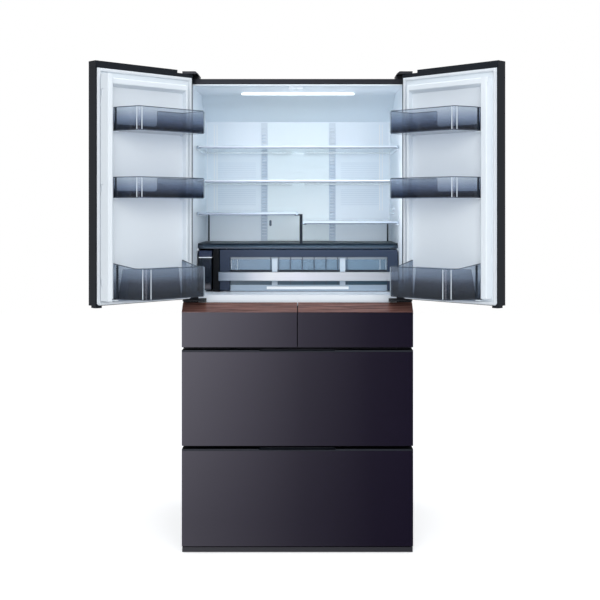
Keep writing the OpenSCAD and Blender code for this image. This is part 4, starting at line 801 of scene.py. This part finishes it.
# Moulded to the front wall of the tub, and seen through the window: two frosted posts, thin dividers,
# a lip along the top, a dark teal strip under the handle that is painted shade, and a dark navy strip behind
# the handle that is painted shadow
bar_row = row_tree()
tub_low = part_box("case_tub")[0]
grip_low, grip_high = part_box("case_handle")
stile = 0.0406
window_left, window_right = frame_low.x + stile, frame_high.x - stile
wall_y = tub_low.y - 0.0001
lip_z = frame_high.z - 0.029
tray_z = grip_low.z - 0.0175
smoke_edge = surface("thick smoke polystyrene", "#39434f", "#434e5b", 0.05, 0.001, 0, Roughness=0.18)
post_styrene = surface("frosted styrene post", "#a7b5c2", "#b5c2ce", 0.02, 0.001, 0.00003, Roughness=0.25)
foot_styrene = surface("clear styrene foot", "#9aadbf", "#a9bac9", 0.08, 0.001, 0.00002, Roughness=0.25)
lip_abs = surface("clear grey lip", "#8f9ba5", "#9aa6b0", 0.05, 0.001, 0, Roughness=0.2)
# Dark teal for the strip under the handle: painted shade
tray_shade_teal = surface("teal polystyrene painted shade", "#344f5e", "#3d5968", 0.05, 0.001, 0, Roughness=0.18)
post_half = 0.0115
for word, centre in (("left", -0.0926), ("right", 0.1797)):
    on_tub(f"{word}_tub_post", (centre - post_half, wall_y - 0.004, tub_low.z + 0.002),
           (centre + post_half, wall_y, lip_z - 0.004), 0.0034, post_styrene)
divider_width = 0.0026
divider_depth = 0.0038
for name, count, first, step in (("tub_dividers", 6, -0.0759, 0.0472), ("post_dividers", 2, -0.1086, 0.3064)):
    dividers = grown(name, bar_row, {
        "Count": count, "First": (first, wall_y - divider_depth / 2, (tray_z + lip_z) / 2),
        "Step": (step, 0, 0), "Size": (divider_width, divider_depth, lip_z - tray_z - 0.001),
        "Material": smoke_edge})
    kept(dividers, "chilled_case", "clear_plastic", None)
on_tub("tub_lip", (window_left, wall_y - 0.0016, lip_z - 0.010),
       (window_right, wall_y, lip_z - 0.0005), 0.0006, lip_abs)
# A dark strip behind the handle: painted shadow
on_tub("handle_shadow_strip", (window_left, wall_y - 0.0036, grip_low.z + 0.004),
       (window_right, wall_y - 0.0026, grip_high.z + 0.007), 0.0004, handle_shadow_navy, "navy_plastic")
# A dark teal strip under the handle: painted shade
on_tub("tub_shade_strip", (window_left, wall_y - 0.0024, tray_z),
       (window_right, wall_y - 0.0014, grip_low.z + 0.006), 0.0004, tray_shade_teal)
# Under the handle the tub stands on a clear foot, with a paler ledge along its middle
on_tub("tub_foot", (window_left, wall_y - 0.0032, frame_low.z - 0.004),
       (window_right, wall_y - 0.0015, tray_z), 0.0005, foot_styrene)
on_tub("tub_foot_ledge", (-0.125, wall_y - 0.0075, frame_low.z + 0.003),
       (0.204, wall_y - 0.003, frame_low.z + 0.0145), 0.0012, trim_abs)
# Pale upright strips near the ends of the window: painted highlights on the tub's corners
for word, x in (("left_outer", window_left + 0.003), ("left_inner", window_left + 0.027),
                ("right_inner", window_right - 0.030), ("right_outer", window_right - 0.0055)):
    on_tub(f"tub_{word}_corner", (x, wall_y - 0.0022, grip_high.z + 0.008),
           (x + divider_width, wall_y, lip_z - 0.011), 0.0006, post_styrene)

# Water tank. A smoke tinted bottle with a blue grey lid that has a sloping spout, and a pale seal
# between them.
lid_abs = surface("moulded blue grey lid", "#20293f", "#283350", 0.1, 0.001, 0.00003, Roughness=0.3)
tank_abs = surface("smoked water bottle", "#10161d", "#1b232d", 0.1, 0.002, 0, Roughness=0.1)
tank = dressed("water_tank", "water_tank", "smoke_plastic", tank_abs, 0.0012)
tank_low, tank_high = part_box("water_tank")
lid_z = tank_high.z - 0.026
for face in faces_of(tank, lid_abs):
    face.material_index = 1 if face.center.z > lid_z else 0
ring = boxed("tank_seal", (tank_low.x - 0.0004, tank_low.y - 0.0006, lid_z - 0.0028),
             (tank_high.x + 0.0004, tank_high.y - 0.001, lid_z + 0.0008), 0.0008)
kept(ring, "water_tank", "clear_plastic", trim_abs)

# Glass doors. A black steel skin is folded round each door, foamed, and faced with tempered glass
# that is printed plum black behind. The liner is drawn white ABS, and a PVC gasket runs round it.
front_glass = surface("plum black tempered glass", "#15101f", "#191424", 0.5, 0.002, 0,
                      Roughness=0.035, IOR=1.52, Specular_IOR_Level=0.5)
door_steel = surface("black coated steel", "#0d131b", "#131a23", 0.4, 0.0012, 0.00005,
                     Roughness=0.38, Specular_IOR_Level=0.4)
gasket_pvc = surface("grey PVC gasket", "#d6dce2", "#dee3e8", 0.1, 0.001, 0.00003, Roughness=0.5)
pivot = Vector(joint_of_body["right_door"]["pos_m"])
opened = math.radians(135)
pin_u, pin_y = 0.424, 0.020
door_width, door_depth = 0.438, 0.045
door_low, door_top = 0.966, 1.833
bin_free, bin_far, bin_depth = 0.067, 0.3877, 0.130


def door_place(side):
    """Takes (distance from the free edge, depth, height) of a closed door to where the open door is."""
    place = (Matrix.Translation((abs(pivot.x), pivot.y, 0)) @ Matrix.Rotation(opened, 4, "Z")
             @ Matrix.Translation((-pin_u, -pin_y, 0)))
    return Matrix.Scale(-1, 4, (1, 0, 0)) @ place if side < 0 else place


def on_door(piece, side):
    """Takes a piece from a closed door to where the open door is."""
    piece.data.transform(door_place(side))
    if side < 0:
        piece.data.flip_normals()
    return piece


def gasket(name, body, low, high, y, place, rubber, width=0.013, height=0.0092):
    """A gasket round an opening between two (x, z) corners: a flat foot, and a soft hollow lobe on it."""
    upright = place @ Matrix.Translation((0, y, 0)) @ Matrix.Rotation(math.radians(90), 4, "X")
    inset = width / 2
    left, right, under, over = low[0] + inset, high[0] - inset, low[1] + inset, high[1] - inset
    foot = 0.0028
    lobe_low = 0.0022
    ring = [(left, under), (right, under), (right, over), (left, over)]
    for word, wide, tall, lift in (
            ("foot", width, foot, foot / 2),
            ("lobe", width - 0.0036, height - lobe_low, (height + lobe_low) / 2)):
        part = bent_bar(f"{name}_{word}", ring, 0.004, wide, tall, 0.0024, rubber,
                        upright @ Matrix.Translation((0, 0, -lift)), True)
        kept(part, body, "seal_rubber", None)
    return part


def smoked(name, low, high, shades):
    """Smoke tinted plastic, painted darker towards the bottom of a bin between two heights as painted shade.
    """
    material = clear(name, "#ffffff", "#ffffff", "#cfd6e0", 0.05, 1.4, 0.92)
    tree = material.node_tree
    where = add(tree, "ShaderNodeTexCoord").outputs["Object"]
    height = add(tree, "ShaderNodeSeparateXYZ", {0: where}).outputs["Z"]
    share = add(tree, "ShaderNodeMapRange", {"Value": height, "From Min": low, "From Max": high})
    tree.links.new(ramped(tree, share, shades), tree.nodes["Principled BSDF"].inputs["Base Color"])
    return material


# Colour stops of the bins, darkest a little above the floor: painted shade
upper_bin_shade = ((0.0, "#a9b1bf"), (0.045, "#9da6b5"), (0.07, "#404856"), (0.22, "#6e798b"),
                (0.5, "#a2adbf"), (0.9, "#ced6df"), (1.0, "#c6ced8"))
lower_bin_shade = ((0.0, "#8b929c"), (0.03, "#7f8790"), (0.06, "#676e79"), (0.2, "#7f8792"),
                (0.43, "#989fab"), (0.56, "#bac3ce"), (0.8, "#ccd4dd"), (1.0, "#b0b9c3"))
end_styrene = surface("dark smoke polystyrene", "#1a222c", "#252e39", 0.05, 0.001, 0, Roughness=0.2)
# Pale ribs that stand for the highlights on the bins' front corners
corner_highlight_styrene = surface("smoke rib painted with highlight", "#d3dce6", "#e0e7ee", 0.05, 0.001, 0, Roughness=0.1)
# How far the free end of each bin leans in, the radius of its corner, and how much its back rises
bins = {"upper": (0.0245, 0.012, 0), "middle": (0.0245, 0.012, 0), "lower": (0.056, 0.020, 0.019)}
bin_styrene = {}
for level, shades in (("upper", upper_bin_shade), ("middle", upper_bin_shade), ("lower", lower_bin_shade)):
    low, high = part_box("left_bin_" + level)
    bin_styrene[level] = smoked("smoke polystyrene " + level, low.z, high.z, shades)
slope_depth = 0.08
highlight_rib_size = 0.003
end_rib_depth = 0.064
end_rib_reach = 0.009
end_rib_width = 0.0035
for side, word in ((-1, "left"), (1, "right")):
    body = word + "_door"
    place = door_place(side)
    dressed(body + "_shell", body, "case_steel", door_steel, 0.0008)
    dressed(body + "_glass", body, "front_glass", front_glass, 0.0006)
    dressed(body + "_liner", body, "liner_white", satin_abs, 0.0016)
    seal = gasket(body + "_gasket", body, (0.004, door_low + 0.002), (door_width - 0.012, door_top - 0.027),
                  door_depth, place, gasket_pvc)
    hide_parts(body + "_seal")
    # Moulded caps lap over the top and bottom edges of the liner
    for name, under, over in (
            ("top_cap", door_top - 0.0255, door_top - 0.0165),
            ("bottom_cap", door_low + 0.001, door_low + 0.0075)):
        cap = boxed(f"{body}_{name}", (0.003, door_depth - 0.0012, under),
                    (door_width - 0.003, door_depth + 0.0006, over), 0.0005)
        kept(on_door(cap, side), body, "case_steel", door_steel)
    for level, (lean, radius, rise) in bins.items():
        node = f"{word}_bin_{level}"
        low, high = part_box(node)
        dressed(node, body, "smoke_plastic", bin_styrene[level], 0.0008)
        rim = high.z - rise
        free, far, back, front = bin_free, bin_far, door_depth + 0.0016, door_depth + bin_depth
        rim_front, rim_far = front - 0.0012, far - 0.0014
        turn = Vector((free + lean - 0.001, front - radius))
        start = back + (0.006 if rise else 0.04)

        def edge_z(depth):
            """The height of the bin's edge at a depth, down the slope from its back."""
            return rim + rise * (1 - (depth - back) / slope_depth)

        # A rounded bead runs along the upper edge
        top = [(free + 0.001, back, rim + rise), (free + 0.001, start, edge_z(start))]
        if rise:
            share = (slope_depth - start + back) / (turn.y - start)
            top.append((free + 0.001 + share * lean, back + slope_depth, rim))
        top += [(free + lean + 0.002, rim_front, rim), (rim_far, rim_front, rim),
                (rim_far, back + slope_depth, rim), (rim_far, back, rim + rise)]
        if not rise:
            top.append((free + 0.207, back, rim))
        bead = bent_bar(node + "_rim", top, 0.008, 0.0034, 0.0026, 0.001, smoke_edge,
                        place @ Matrix.Translation((0, 0, -0.0008)))
        kept(bead, body, "smoke_plastic", None)
        # Three slim pale ribs stand on the corners of the front: painted highlights of the corners
        for number, (u, depth, finish) in enumerate((
                (turn.x, turn.y, corner_highlight_styrene), (free + lean + radius, front + 0.0001, corner_highlight_styrene),
                (far - 0.0012, rim_front, lip_abs)), 1):
            upright = [(u, depth, low.z + 0.003), (u, depth, rim - 0.003)]
            rib = bent_bar(f"{node}_rib_{number}", upright, 0.0, highlight_rib_size, highlight_rib_size, 0.0014, finish, place)
            kept(rib, body, "smoke_plastic", None)
        # A dark upright rib stands at the free end of a bin, beside the raised edge of the liner
        inward = free + lean * max(0, end_rib_depth - start) / (turn.y - start)
        rib_end = end_rib_depth + end_rib_reach
        end_rib = boxed(node + "_end_rib", (inward, end_rib_depth, low.z + 0.002),
                        (inward + end_rib_width, rib_end, edge_z(rib_end) - 0.0015), 0.0008)
        kept(on_door(end_rib, side), body, "smoke_plastic", end_styrene)
dressed("left_flap", "flap", "liner_white", satin_abs, 0.0012)

# Drawers. Each front is a foamed box of coated steel with a glass face, on two zinc plated arms, and
# its milky tub hangs on the arms. A gasket runs round the back of each front.
milky_plastic = surface("milky polypropylene", "#dfe6ea", "#e8edf0", 0.2, 0.0012, 0.00004, Roughness=0.4,
                        Transmission_Weight=0.25)
# Long streaks along the strip, 2 to 4 mm apart across it
streaked, tree, shader, grain = streaks(
    "brown glass with a wood print", (7.0, 260.0, 340.0), {"Detail": 5.0, "Roughness": 0.62}, Roughness=0.12)
tree.links.new(ramped(tree, grain, ((0.36, "#472e2a"), (0.66, "#8c645a"))), shader.inputs["Base Color"])
dark_pvc = surface("black PVC gasket", "#0b0d10", "#121519", 0.1, 0.001, 0.00003, Roughness=0.6,
                   Specular_IOR_Level=0.2)
for body in ("ice_drawer", "freeze_drawer", "middle_drawer", "lower_drawer"):
    glass_low, glass_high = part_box(body + "_glass")
    back_y = glass_low.y + door_depth
    form = merged(frame["nodes"][body + "_front"].data)
    ring_low, ring_high = next((low, high) for solid, low, high in solids_of(form) if low.y > back_y + 0.0001)
    form.free()
    # The seal's own solid is left out of the front, since the gasket stands for it
    front = kept(finished(body + "_front", 0.0006, back_y + 0.0001), body, "case_steel", door_steel,
                 body + "_front")
    sloped = body in ("ice_drawer", "freeze_drawer")
    for face in faces_of(front, zinc_plate, streaked, painted_shade_black):
        over = face.center.z > glass_high.z - 0.001
        if face.center.y > back_y + 0.0004:
            face.material_index = 1
        elif sloped and over and abs(face.normal.x) < 0.7 and face.normal.y < 0.9:
            face.material_index = 2
        # Tops and bottoms of the fronts, in the gaps between drawers: painted shade in matt black
        elif abs(face.normal.z) > 0.5:
            face.material_index = 3
    gasket(body + "_gasket", body, (ring_low.x, ring_low.z), (ring_high.x, ring_high.z), back_y,
           Matrix.Identity(4), dark_pvc, 0.011)
    dressed(body + "_glass", body, "front_glass", front_glass, 0.0006)
    dressed(body + "_tub", body, "tub_plastic", milky_plastic, 0.001)
